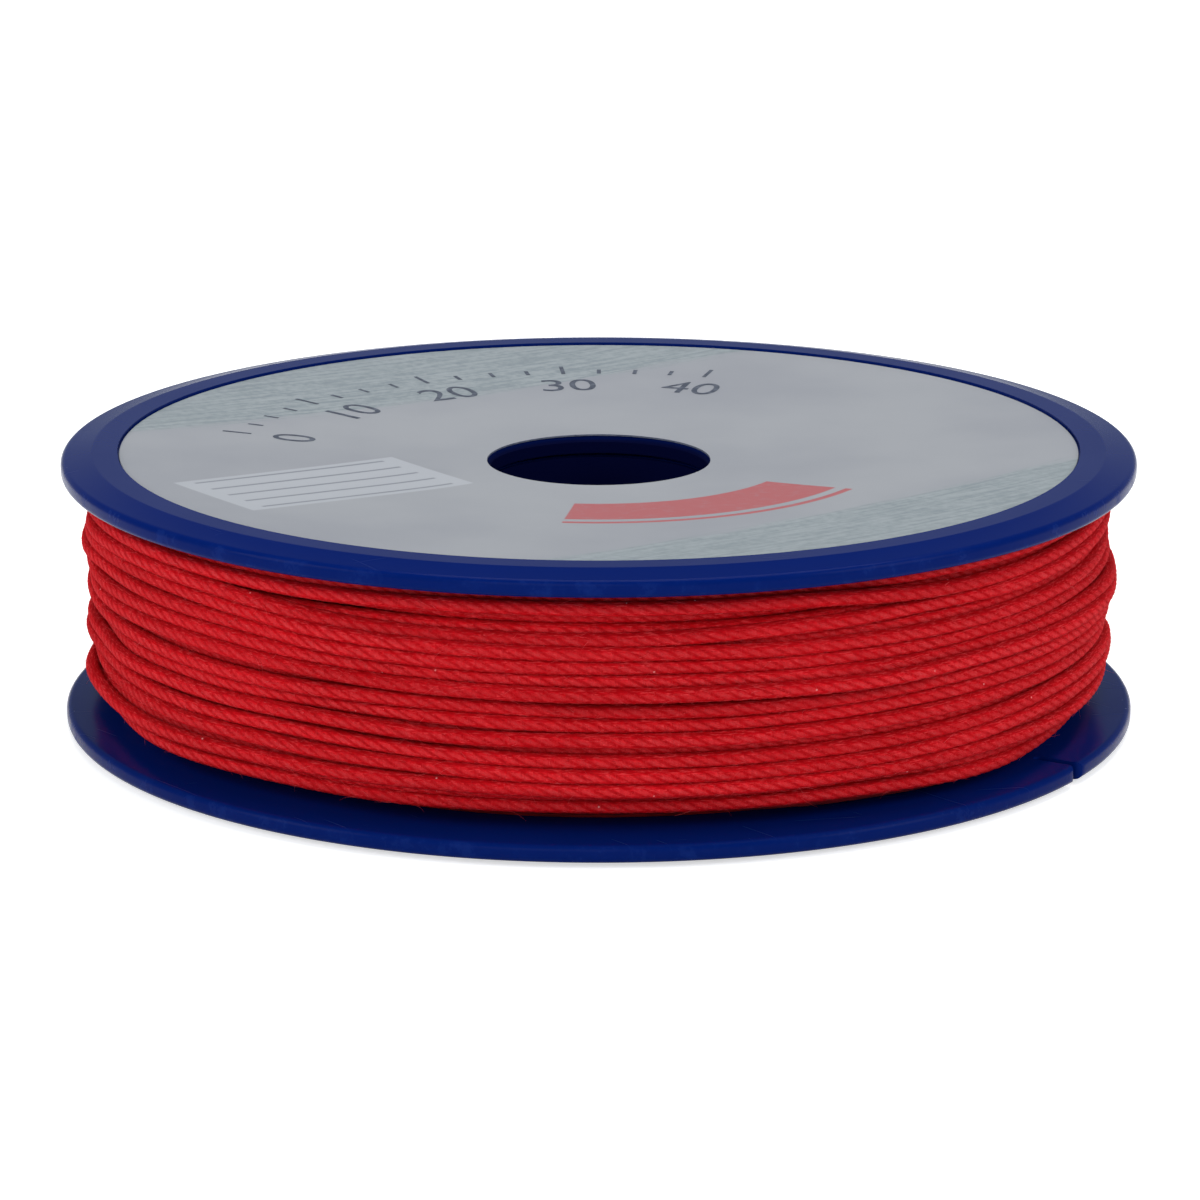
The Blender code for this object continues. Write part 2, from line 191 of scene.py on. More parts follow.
class ShaderGraph:
    """The nodes of one material, added and linked by short calls."""

    def __init__(self, name: str) -> None:
        """Starts a material with a Principled BSDF.

        Args:
            name: The material's name.
        """
        self.material = bpy.data.materials.new(name)
        self.material.use_nodes = True
        self.nodes = self.material.node_tree.nodes
        self.links = self.material.node_tree.links
        self.shader = self.nodes["Principled BSDF"]

    def feed(self, socket: Socket, value: object) -> None:
        """Links a socket into another, or writes a plain value on it.

        Args:
            socket: The input socket.
            value: An output socket, a number, a vector or a colour.
        """
        if isinstance(value, Socket):
            self.links.new(value, socket)
        elif socket.type == "RGBA" and len(value) == 3:
            socket.default_value = (*value, 1.0)
        else:
            socket.default_value = value

    def math(self, operation: str, *values: object) -> Socket:
        """A Math node.

        Args:
            operation: The node's operation.
            values: Its inputs, in order.

        Returns:
            The result.
        """
        node = self.nodes.new("ShaderNodeMath")
        node.operation = operation
        for socket, value in zip(node.inputs, values):
            self.feed(socket, value)
        return node.outputs["Value"]

    def times(self, first: object, second: object) -> Socket:
        """The product of two values."""
        return self.math("MULTIPLY", first, second)

    def plus(self, first: object, second: object) -> Socket:
        """The sum of two values."""
        return self.math("ADD", first, second)

    def from_axis(self, x: object, y: object) -> Socket:
        """A point's distance from the reel's axis."""
        return self.math("SQRT", self.plus(self.times(x, x), self.times(y, y)))

    def step(self, value: object, low: float, high: float) -> Socket:
        """A smooth step from 0 at low to 1 at high, or from 1 to 0 where low is the larger.

        Args:
            value: The value that is looked at.
            low: Where the step starts.
            high: Where the step ends.

        Returns:
            The step, 0 to 1.
        """
        node = self.nodes.new("ShaderNodeMapRange")
        node.interpolation_type = "SMOOTHSTEP"
        self.feed(node.inputs["Value"], value)
        node.inputs["From Min"].default_value = min(low, high)
        node.inputs["From Max"].default_value = max(low, high)
        node.inputs["To Min"].default_value = 0.0 if low < high else 1.0
        node.inputs["To Max"].default_value = 1.0 if low < high else 0.0
        return node.outputs["Result"]

    def scaled(self, value: object, low: float, high: float) -> Socket:
        """A value of 0 to 1 spread evenly between two numbers.

        Args:
            value: The value.
            low: What 0 becomes.
            high: What 1 becomes.

        Returns:
            The spread value.
        """
        node = self.nodes.new("ShaderNodeMapRange")
        self.feed(node.inputs["Value"], value)
        node.inputs["To Min"].default_value = low
        node.inputs["To Max"].default_value = high
        return node.outputs["Result"]

    def mix(self, share: object, first: object, second: object) -> Socket:
        """A colour mix.

        Args:
            share: How much of the second colour.
            first: The first colour.
            second: The second colour.

        Returns:
            The mixed colour.
        """
        node = self.nodes.new("ShaderNodeMix")
        node.data_type = "RGBA"
        self.feed(node.inputs[0], share)
        self.feed(node.inputs[6], first)
        self.feed(node.inputs[7], second)
        return node.outputs[2]

    def place(self) -> Socket:
        """The point's place on the piece, in metres."""
        return self.nodes.new("ShaderNodeTexCoord").outputs["Object"]

    def attribute(self, name: str, output: str = "Fac") -> Socket:
        """A value that is stored with the mesh.

        Args:
            name: The attribute's name.
            output: Which of the node's outputs is wanted.

        Returns:
            The value.
        """
        node = self.nodes.new("ShaderNodeAttribute")
        node.attribute_name = name
        return node.outputs[output]

    def parts(self, vector: object) -> tuple[Socket, ...]:
        """The three numbers of a vector.

        Args:
            vector: The vector.

        Returns:
            Its X, Y and Z.
        """
        node = self.nodes.new("ShaderNodeSeparateXYZ")
        self.feed(node.inputs[0], vector)
        return tuple(node.outputs)

    def vector(self, x: object, y: object, z: object = 0.0) -> Socket:
        """A vector from three numbers.

        Args:
            x: Its X.
            y: Its Y.
            z: Its Z.

        Returns:
            The vector.
        """
        node = self.nodes.new("ShaderNodeCombineXYZ")
        for socket, value in zip(node.inputs, (x, y, z)):
            self.feed(socket, value)
        return node.outputs[0]

    def stretched(self, vector: object, scale: Triple, turn: float = 0.0) -> Socket:
        """A vector turned about Z and then scaled.

        Args:
            vector: The vector.
            scale: The three factors.
            turn: The angle of the turn.

        Returns:
            The new vector.
        """
        node = self.nodes.new("ShaderNodeMapping")
        node.vector_type = "TEXTURE" if turn else "POINT"
        self.feed(node.inputs["Vector"], vector)
        if turn:
            node.inputs["Rotation"].default_value = (0.0, 0.0, turn)
            node.inputs["Scale"].default_value = tuple(1.0 / s for s in scale)
        else:
            node.inputs["Scale"].default_value = scale
        return node.outputs["Vector"]

    def streaks(
        self, vector: object, stretch: Triple, detail: float = 2.0, rough: float = 0.5, turn: float = 0.0
    ) -> Socket:
        """A noise with a scale of its own along each axis, turned about Z."""
        return self.noise(self.stretched(vector, stretch, turn), 1.0, detail, rough)

    def noise(self, vector: object, scale: float, detail: float = 2.0, rough: float = 0.5) -> Socket:
        """A noise texture.

        Args:
            vector: Where it is read.
            scale: Its scale.
            detail: Its octaves.
            rough: How strong the finer octaves are.

        Returns:
            Its value, about 0.5.
        """
        node = self.nodes.new("ShaderNodeTexNoise")
        self.feed(node.inputs["Vector"], vector)
        node.inputs["Scale"].default_value = scale
        node.inputs["Detail"].default_value = detail
        node.inputs["Roughness"].default_value = rough
        return node.outputs["Fac"]

    def specks(self, vector: object, scale: float, size: float, share: float) -> Socket:
        """Round specks in some of the cells of a Voronoi texture.

        Args:
            vector: Where it is read.
            scale: Cells to the metre.
            size: A speck's radius, in cells.
            share: How many cells have one, 0 to 1.

        Returns:
            1 in a speck, 0 outside.
        """
        node = self.nodes.new("ShaderNodeTexVoronoi")
        self.feed(node.inputs["Vector"], vector)
        node.inputs["Scale"].default_value = scale
        near = self.step(node.outputs["Distance"], size, size * 0.5)
        red = self.parts(node.outputs["Color"])[0]
        chosen = self.math("LESS_THAN", red, share)
        return self.times(near, chosen)

    def bump(
        self, height: Socket, depth: float, strength: float = 1.0, under: Socket | None = None
    ) -> Socket:
        """A bump of a given depth.

        Args:
            height: The height map, 0 to 1.
            depth: What 1 stands for, in metres.
            strength: The node's strength.
            under: A normal that this bump is laid over.

        Returns:
            The normal.
        """
        node = self.nodes.new("ShaderNodeBump")
        node.inputs["Strength"].default_value = strength
        node.inputs["Distance"].default_value = depth
        self.feed(node.inputs["Height"], height)
        if under is not None:
            self.feed(node.inputs["Normal"], under)
        return node.outputs["Normal"]

    def dress(self, **values: object) -> bpy.types.Material:
        """Feeds the Principled BSDF by its sockets' names, with _ for a space.

        Args:
            values: A value or an output socket for each input.

        Returns:
            The material.
        """
        for name, value in values.items():
            self.feed(self.shader.inputs[name.replace("_", " ")], value)
        return self.material


# Finishes


@dataclass(frozen=True)
class Scratches:
    """Fine scratches that all run one way."""

    stretch: Triple
    turn: float
    start: float
    end: float

    def mask(self, graph: ShaderGraph, place: Socket) -> Socket:
        """Where the scratches are, 0 to 1."""
        return graph.step(graph.streaks(place, self.stretch, turn=self.turn), self.start, self.end)


@dataclass(frozen=True)
class MouldedPlastic:
    """Deep blue moulded plastic with a satin gloss, fine scratches, a worn rim and painted shade in the
    bore.
    """

    bore_radius: float
    rim_radius: float
    name: str = "moulded_blue_plastic"
    color: Color = linear(2, 28, 100)
    worn: Color = linear(22, 48, 122)
    # Painted shade: the colour that the inside of the bore is darkened to.
    shaded: Color = linear(1, 5, 44)
    dusty: Color = linear(150, 165, 200)
    cloud_shade: float = 0.72
    roughness: float = 0.20
    smoother: float = 0.06
    rougher: float = 0.08
    bore_roughness: float = 0.5
    ior: float = 1.10
    bore_edge: Point = (0.0005, 0.0002)
    bore_shade_heights: Point = (0.0189, 0.0184)
    rub_width: float = 0.00035
    cloud_scale: float = 90.0
    rub_scale: float = 420.0
    dust_scale: float = 420.0
    dust_size: float = 0.045
    dust_share: float = 0.10
    peel_scale: float = 700.0
    peel_depth: float = 0.0000022
    grain_scale: float = 2600.0
    grain_depth: float = 0.0000007
    scratch_depth: float = 0.0000005
    scratch_sets: tuple[Scratches, ...] = (
        Scratches((2600.0, 90.0, 300.0), 0.7, 0.66, 0.74),
        Scratches((110.0, 3000.0, 300.0), 0.2, 0.68, 0.76),
    )

    def material(self) -> bpy.types.Material:
        """The finish as a material.

        Returns:
            The material.
        """
        graph = ShaderGraph(self.name)
        place = graph.place()
        x, y, z = graph.parts(place)
        radius = graph.from_axis(x, y)
        cloud = graph.noise(place, self.cloud_scale, 3.0)
        scratches = graph.math("MAXIMUM", *(group.mask(graph, place) for group in self.scratch_sets))
        edge = graph.step(radius, self.rim_radius - self.rub_width, self.rim_radius)
        rub = graph.times(edge, graph.step(graph.noise(place, self.rub_scale, 4.0, 0.7), 0.48, 0.75))
        dust = graph.specks(place, self.dust_scale, self.dust_size, self.dust_share)
        outer, inner = self.bore_edge
        bore = graph.step(radius, self.bore_radius + outer, self.bore_radius + inner)
        depth = graph.times(bore, graph.step(z, *self.bore_shade_heights))
        darker = tuple(c * self.cloud_shade for c in self.color)
        tone = graph.mix(graph.scaled(cloud, 0.0, 0.45), self.color, darker)
        marks = ((rub, 0.45, self.worn), (scratches, 0.05, self.worn), (dust, 0.35, self.dusty))
        for mask, strength, color in marks:
            tone = graph.mix(graph.times(mask, strength), tone, color)
        # Painted shade inside the bore, below its mouth.
        tone = graph.mix(depth, tone, self.shaded)
        rough = graph.scaled(cloud, self.roughness - self.smoother, self.roughness + self.rougher)
        rough = graph.plus(rough, graph.times(scratches, 0.08))
        rough = graph.plus(rough, graph.times(graph.plus(rub, dust), 0.2))
        rough = graph.plus(rough, graph.times(bore, self.bore_roughness))
        normal = graph.bump(graph.noise(place, self.peel_scale), self.peel_depth)
        normal = graph.bump(graph.noise(place, self.grain_scale), self.grain_depth, under=normal)
        normal = graph.bump(scratches, self.scratch_depth, under=normal)
        return graph.dress(Base_Color=tone, Roughness=rough, Normal=normal, IOR=self.ior)


@dataclass(frozen=True)
class TwistedTwine:
    """Dyed twisted twine: matt, slightly fibrous, darker between its strands and its turns as painted shade,
    and lighter on the crests of its strands as painted highlight.

    A stretch gives cycles to the metre of twine, to one circle of its lay, and to a radian of its section.
    """

    name: str = "dyed_twine"
    # crown: a brighter red, used as a painted highlight on the strands' crests and as random dye tone.
    crown: Color = linear(228, 20, 34)
    mean: Color = linear(211, 8, 22)
    # A dark red: painted shade in the furrows and grooves, and the darker tones along the twine and its
    # fibres.
    valley: Color = linear(156, 0, 8)
    # A pale pink: painted highlight on the outer crests, and the lighter fibre streaks.
    faded: Color = linear(236, 80, 84)
    fleck: Color = linear(240, 170, 170)
    roughness: float = 0.66
    rougher: float = 0.2
    sheen: float = 0.03
    sheen_roughness: float = 0.45
    sheen_tint: Color = linear(255, 90, 90)
    light_share: float = 0.30
    light_reach: Triple = (1.0, 0.10, 0.10)
    light_depth: float = 0.0005
    ior: float = 1.14
    dye_scale: float = 120.0
    patch_stretch: Triple = (260.0, 2.0, 1.0)
    length_stretch: Triple = (24.0, 0.0, 0.0)
    fibre_stretch: Triple = (1000.0, 34.0, 1.0)
    worn_stretch: Triple = (420.0, 1.0, 0.0)
    fleck_scale: float = 1100.0
    fleck_size: float = 0.10
    fleck_share: float = 0.07
    fibre_depth: float = 0.000070
    fluff_scale: float = 5200.0
    fluff_depth: float = 0.000030

    def material(self) -> bpy.types.Material:
        """The finish as a material.

        Returns:
            The material.
        """
        graph = ShaderGraph(self.name)
        place = graph.place()
        run = graph.attribute("twine_run", "Vector")
        crest = graph.attribute("strand_crest")
        outside = graph.attribute("outside")
        dye = graph.noise(place, self.dye_scale, 3.0)
        patches = graph.streaks(run, self.patch_stretch, 3.0)
        lengths = graph.streaks(run, self.length_stretch, 1.0)
        fibres = graph.streaks(run, self.fibre_stretch, 3.0, 0.65)
        # Painted shade in the furrows between the strands, patchy along the twine.
        clear = graph.scaled(graph.step(graph.streaks(run, self.worn_stretch), 0.38, 0.62), 0.35, 1.0)
        painted_furrow_shade = graph.times(graph.step(crest, 0.6, 0.0), graph.times(clear, 0.54))
        tone = graph.mix(painted_furrow_shade, self.mean, self.valley)
        # Painted highlight: the crests of the strands are lighter.
        tone = graph.mix(graph.times(graph.step(crest, 0.35, 1.0), 0.75), tone, self.crown)
        # Painted highlight: pale pink patches on the outward-facing crests of the strands.
        worn = graph.scaled(graph.step(patches, 0.4, 0.65), 0.30, 0.72)
        painted_crest_highlight = graph.times(graph.step(crest, 0.25, 1.0), worn)
        tone = graph.mix(graph.times(painted_crest_highlight, graph.step(outside, 0.80, 0.99)), tone, self.faded)
        # The first mark is painted shade where the twine turns away from the outside, in the grooves between
        # turns; the others are tone that varies along the twine and with its fibres.
        for mask, strength, color in (
            (graph.step(outside, 0.97, 0.52), 0.85, self.valley),
            (graph.step(lengths, 0.36, 0.64), 0.42, self.valley),
            (graph.step(patches, 0.35, 0.7), 0.16, self.valley),
            (graph.step(dye, 0.35, 0.7), 0.22, self.crown),
            (graph.step(fibres, 0.50, 0.66), 0.44, self.faded),
            (graph.step(fibres, 0.49, 0.34), 0.58, self.valley),
        ):
            tone = graph.mix(graph.scaled(mask, 0.0, strength), tone, color)
        flecks = graph.specks(place, self.fleck_scale, self.fleck_size, self.fleck_share)
        tone = graph.mix(graph.times(flecks, 0.65), tone, self.fleck)
        normal = graph.bump(fibres, self.fibre_depth, 0.8)
        fluff = graph.noise(place, self.fluff_scale, 2.0, 0.6)
        normal = graph.bump(fluff, self.fluff_depth, 0.7, under=normal)
        return graph.dress(
            Base_Color=tone,
            Roughness=graph.scaled(fibres, self.roughness, self.roughness + self.rougher),
            Normal=normal,
            Sheen_Weight=self.sheen,
            Sheen_Roughness=self.sheen_roughness,
            Sheen_Tint=self.sheen_tint,
            Subsurface_Weight=self.light_share,
            Subsurface_Radius=self.light_reach,
            Subsurface_Scale=self.light_depth,
            IOR=self.ior,
        )


@dataclass(frozen=True)
class DeepTwine:
    """The inner layers, seen only in the grooves between the outer turns, in a darker red that is painted
    shade.
    """

    name: str = "inner_twine_painted_shade"
    # A darker copy of the twine's red: painted shade for the inner layers.
    color: Color = linear(140, 4, 12)
    shade: Color = linear(92, 0, 6)
    roughness: Point = (0.75, 0.95)
    ior: float = 1.35
    strand_stretch: Triple = (500.0, 500.0, 2600.0)
    strand_depth: float = 0.00006

    def material(self) -> bpy.types.Material:
        """The finish as a material.

        Returns:
            The material.
        """
        graph = ShaderGraph(self.name)
        strands = graph.streaks(graph.place(), self.strand_stretch, 3.0)
        tone = graph.mix(graph.step(strands, 0.3, 0.7), self.shade, self.color)
        rough = graph.scaled(strands, *self.roughness)
        normal = graph.bump(strands, self.strand_depth)
        return graph.dress(Base_Color=tone, Roughness=rough, Normal=normal, IOR=self.ior)


@dataclass(frozen=True)
class FibreEnds:
    """Loose fibre ends that stand off the twine."""

    name: str = "loose_fibres"
    color: Color = linear(226, 84, 88)
    shade: Color = linear(190, 30, 40)
    roughness: Point = (0.6, 0.85)
    ior: float = 1.35
    shade_scale: float = 400.0

    def material(self) -> bpy.types.Material:
        """The finish as a material.

        Returns:
            The material.
        """
        graph = ShaderGraph(self.name)
        uneven = graph.noise(graph.place(), self.shade_scale)
        tone = graph.mix(graph.step(uneven, 0.35, 0.65), self.color, self.shade)
        return graph.dress(Base_Color=tone, Roughness=graph.scaled(uneven, *self.roughness), IOR=self.ior)


@dataclass(frozen=True)
class Band:
    """A pale streaked band along the label's edge, bounded by a chord."""

    direction: float
    start: float


@dataclass(frozen=True)
class PrintLayout:
    """Where the label's plain motifs lie. Directions are measured round the axis from +X."""

    bands: tuple[Band, ...] = (Band(math.radians(122), 0.0215), Band(math.radians(-52), 0.0243))
    arc_middle: float = math.radians(-64)
    arc_half_width: float = math.radians(33)
    arc_end_softness: float = 0.004
    broad_arc: Point = (0.0140, 0.0196)
    thin_arc: Point = (0.0204, 0.0210)
    panel_middle: Point = (-0.0195, -0.0095)
    panel_size: Point = (0.0190, 0.0100)
    panel_turn: float = math.radians(38)
    rule_spacing: float = 0.0021
    rule_width: float = 0.00026
    rule_margin: float = 0.0012
    rule_end_softness: float = 0.0002


@dataclass(frozen=True)
class CoatedCard:
    """Coated card printed with two streaked bands, a red arc and a ruled panel."""

    name: str = "printed_card"
    ground: Color = linear(160, 162, 168)
    ground_shade: Color = linear(150, 152, 160)
    band: Color = linear(126, 137, 143)
    band_light: Color = linear(158, 166, 170)
    panel: Color = linear(178, 181, 188)
    rule: Color = linear(112, 116, 128)
    red: Color = linear(176, 88, 92)
    roughness: Point = (0.40, 0.52)
    ior: float = 1.38
    cloud_scale: float = 60.0
    fine_scale: float = 1500.0
    fine_depth: float = 0.0000015
    wave_scale: float = 260.0
    wave_depth: float = 0.000010
    streak_stretch: Triple = (130.0, 2100.0, 1.0)
    ragged_stretch: Triple = (180.0, 2400.0, 1.0)
    ragged_reach: float = 0.0016
    arc_softness: float = 0.00006
    panel_softness: float = 0.00008
    layout: PrintLayout = PrintLayout()

    def band_mask(self, graph: ShaderGraph, x: Socket, y: Socket, band: Band) -> Socket:
        """A band's strength, 0 to 1. Its inner edge is ragged.

        Args:
            graph: The material's nodes.
            x: The point's X.
            y: The point's Y.
            band: Where the band lies.

        Returns:
            The strength.
        """
        turn = band.direction
        across = graph.plus(graph.times(x, math.cos(turn)), graph.times(y, math.sin(turn)))
        ragged = graph.streaks(graph.vector(x, y), self.ragged_stretch, 3.0, turn=turn + math.pi / 2)
        edge = graph.plus(across, graph.scaled(ragged, -self.ragged_reach, self.ragged_reach))
        return graph.step(edge, band.start - 0.0004, band.start + 0.0008)

    def band_ink(self, graph: ShaderGraph, x: Socket, y: Socket, fine: Socket, band: Band) -> Socket:
        """A band's streaked colour.

        Args:
            graph: The material's nodes.
            x: The point's X.
            y: The point's Y.
            fine: The card's fine grain.
            band: Where the band lies.

        Returns:
            The colour.
        """
        turn = band.direction + math.pi / 2
        streaks = graph.streaks(graph.vector(x, y), self.streak_stretch, 4.0, 0.62, turn)
        mottle = graph.plus(graph.times(streaks, 0.6), graph.times(fine, 0.4))
        return graph.mix(graph.step(mottle, 0.36, 0.64), self.band, self.band_light)

    def arc_mask(self, graph: ShaderGraph, radius: Socket, bearing: Socket, ring: Point) -> Socket:
        """A sector of a ring round the hole.

        Args:
            graph: The material's nodes.
            radius: The point's distance from the axis.
            bearing: The point's angle from the arc's middle, without its sign.
            ring: The ring's inner and outer radius.

        Returns:
            The arc's strength, 0 to 1.
        """
        (inner, outer), soft = ring, self.arc_softness
        wide, end = self.layout.arc_half_width, self.layout.arc_end_softness
        outside = graph.step(radius, inner - soft, inner + soft)
        inside = graph.step(radius, outer + soft, outer - soft)
        return graph.times(graph.times(outside, inside), graph.step(bearing, wide + end, wide - end))

    def panel_masks(self, graph: ShaderGraph, x: Socket, y: Socket) -> tuple[Socket, Socket]:
        """A pale ruled panel.

        Args:
            graph: The material's nodes.
            x: The point's X.
            y: The point's Y.

        Returns:
            The panel's strength and that of its rules, 0 to 1.
        """
        plan, soft = self.layout, self.panel_softness
        cos, sin = math.cos(plan.panel_turn), math.sin(plan.panel_turn)
        right = graph.math("SUBTRACT", x, plan.panel_middle[0])
        back = graph.math("SUBTRACT", y, plan.panel_middle[1])
        along = graph.plus(graph.times(right, cos), graph.times(back, sin))
        across = graph.math("SUBTRACT", graph.times(back, cos), graph.times(right, sin))
        inside = []
        for value, size in zip((along, across), plan.panel_size):
            inside.append(graph.step(graph.math("ABSOLUTE", value), size / 2 + soft, size / 2 - soft))
        panel = graph.times(*inside)
        from_rule = graph.math("PINGPONG", across, plan.rule_spacing / 2)
        line = graph.step(from_rule, plan.rule_width / 2 + soft, plan.rule_width / 2)
        end = plan.panel_size[0] / 2 - plan.rule_margin
        held = graph.step(graph.math("ABSOLUTE", along), end, end - plan.rule_end_softness)
        return panel, graph.times(graph.times(panel, line), held)

    def material(self) -> bpy.types.Material:
        """The finish as a material.

        Returns:
            The material.
        """
        graph = ShaderGraph(self.name)
        plan = self.layout
        place = graph.place()
        x, y, _ = graph.parts(place)
        radius = graph.from_axis(x, y)
        azimuth = graph.math("ARCTAN2", y, x)
        bearing = graph.math("ABSOLUTE", graph.math("SUBTRACT", azimuth, plan.arc_middle))
        cloud = graph.noise(place, self.cloud_scale, 3.0)
        fine = graph.noise(place, self.fine_scale, 3.0, 0.6)
        tone = graph.mix(graph.step(cloud, 0.3, 0.7), self.ground, self.ground_shade)
        for band in plan.bands:
            ink = self.band_ink(graph, x, y, fine, band)
            tone = graph.mix(graph.times(self.band_mask(graph, x, y, band), 0.85), tone, ink)
        panel, rules = self.panel_masks(graph, x, y)
        tone = graph.mix(graph.times(panel, 0.85), tone, self.panel)
        tone = graph.mix(graph.times(rules, 0.7), tone, self.rule)
        rings = (self.arc_mask(graph, radius, bearing, ring) for ring in (plan.broad_arc, plan.thin_arc))
        arcs = graph.math("MAXIMUM", *rings)
        worn_ink = graph.scaled(graph.step(fine, 0.25, 0.5), 0.78, 0.95)
        tone = graph.mix(graph.times(arcs, worn_ink), tone, self.red)
        rough = graph.scaled(cloud, *self.roughness)
        normal = graph.bump(graph.noise(place, self.wave_scale), self.wave_depth, 0.6)
        normal = graph.bump(fine, self.fine_depth, under=normal)
        return graph.dress(Base_Color=tone, Roughness=rough, Normal=normal, IOR=self.ior)


@dataclass(frozen=True)
class CardEdge:
    """The cut edge and the back of the label, painted dark as shade."""

    name: str = "card_edge_painted_shade"
    # Painted shade: the dark colour of the card's cut edge.
    color: Color = linear(70, 78, 104)
    light: Color = linear(96, 102, 124)
    roughness: Point = (0.6, 0.85)
    fibre_scale: float = 3000.0
    fibre_depth: float = 0.00002

    def material(self) -> bpy.types.Material:
        """The finish as a material.

        Returns:
            The material.
        """
        graph = ShaderGraph(self.name)
        fibre = graph.noise(graph.place(), self.fibre_scale)
        tone = graph.mix(graph.step(fibre, 0.3, 0.7), self.color, self.light)
        rough = graph.scaled(fibre, *self.roughness)
        return graph.dress(Base_Color=tone, Roughness=rough, Normal=graph.bump(fibre, self.fibre_depth))


@dataclass(frozen=True)
class PrintInk:
    """Dark printing ink, slightly uneven."""

    name: str = "dark_ink"
    color: Color = linear(64, 70, 86)
    light: Color = linear(98, 104, 118)
    roughness: Point = (0.42, 0.6)
    ior: float = 1.38
    patch_scale: float = 2200.0

    def material(self) -> bpy.types.Material:
        """The finish as a material.

        Returns:
            The material.
        """
        graph = ShaderGraph(self.name)
        patchy = graph.noise(graph.place(), self.patch_scale, 3.0)
        tone = graph.mix(graph.step(patchy, 0.35, 0.75), self.color, self.light)
        return graph.dress(Base_Color=tone, Roughness=graph.scaled(patchy, *self.roughness), IOR=self.ior)


@dataclass(frozen=True)
class PaleFloor:
    """A white floor that keeps the reel's soft shadow."""

    name: str = "pale_floor"
    color: Color = (0.82, 0.82, 0.82)
    lift: float = 0.60

    def material(self) -> bpy.types.Material:
        """The floor's material: matt white, with a glow that doesn't light the object.

        Returns:
            The material.
        """
        graph = ShaderGraph(self.name)
        rays = graph.nodes.new("ShaderNodeLightPath")
        seen = graph.math("MAXIMUM", rays.outputs["Is Camera Ray"], rays.outputs["Is Glossy Ray"])
        seen = graph.math("MAXIMUM", seen, rays.outputs["Is Transmission Ray"])
        return graph.dress(
            Base_Color=self.color,
            Roughness=1.0,
            Specular_IOR_Level=0.0,
            Emission_Color=(1.0, 1.0, 1.0),
            Emission_Strength=graph.times(seen, self.lift),
        )


# Pieces


class Slot(Enum):
    """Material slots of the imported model."""

    BODY = "blue_plastic_body"
    CAP = "blue_plastic_cap"
    LABEL = "label_card"
    INNER_TWINE = "inner_twine"
    OUTER_TWINE = "outer_twine"


class Node(Enum):
    """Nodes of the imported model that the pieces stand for."""

    BODY = "reel_body"
    CAP = "reel_cap"
    LABEL = "label_disc"
    PACK = "twine_pack"
    LAYER = "twine_outer_layer"


class MeshMaker:
    """Turns points and faces into objects of the scene."""

    @staticmethod
    def from_arrays(name: str, points: np.ndarray, faces: np.ndarray) -> bpy.types.Object:
        """An object made from arrays.

        Args:
            name: The object's name.
            points: Its points, one row each.
            faces: Its faces, all with as many corners, as rows of point numbers.

        Returns:
            The object, shaded smooth.
        """
        mesh = bpy.data.meshes.new(name)
        corners = faces.shape[1]
        mesh.vertices.add(len(points))
        mesh.vertices.foreach_set("co", np.ascontiguousarray(points, np.float32).ravel())
        mesh.loops.add(faces.size)
        mesh.loops.foreach_set("vertex_index", np.ascontiguousarray(faces, np.int32).ravel())
        mesh.polygons.add(len(faces))
        mesh.polygons.foreach_set("loop_start", np.arange(len(faces), dtype=np.int32) * corners)
        mesh.polygons.foreach_set("loop_total", np.full(len(faces), corners, np.int32))
        mesh.update(calc_edges=True)
        mesh.validate()
        mesh.shade_smooth()
        return MeshMaker.placed(name, mesh)

    @staticmethod
    def grid(rings: int, count: int, closed: bool = False) -> np.ndarray:
        """Four-sided faces between rings of points, each of which closes on itself.

        Args:
            rings: How many rings there are.
            count: How many points each ring has.
            closed: Whether the last ring joins the first.

        Returns:
            The faces as rows of point numbers.
        """
        ring = np.arange(rings if closed else rings - 1)[:, None]
        here = np.arange(count)[None, :]
        after, beside = (ring + 1) % rings, (here + 1) % count
        corners = ((ring, here), (ring, beside), (after, beside), (after, here))
        return np.stack([row * count + place for row, place in corners], axis=-1).reshape(-1, 4)

    @staticmethod
    def placed(name: str, mesh: bpy.types.Mesh) -> bpy.types.Object:
        """An object of the scene that shows a mesh.

        Args:
            name: The object's name.
            mesh: The mesh.

        Returns:
            The object.
        """
        obj = bpy.data.objects.new(name, mesh)
        bpy.context.scene.collection.objects.link(obj)
        return obj

    @staticmethod
    def settled(obj: bpy.types.Object) -> bpy.types.Object:
        """Turns an object's modifiers into plain faces.

        Args:
            obj: The object.

        Returns:
            The same object.
        """
        bpy.context.view_layer.update()
        depsgraph = bpy.context.evaluated_depsgraph_get()
        mesh = bpy.data.meshes.new_from_object(obj.evaluated_get(depsgraph))
        mesh.name = obj.name
        obj.modifiers.clear()
        obj.data = mesh
        return obj


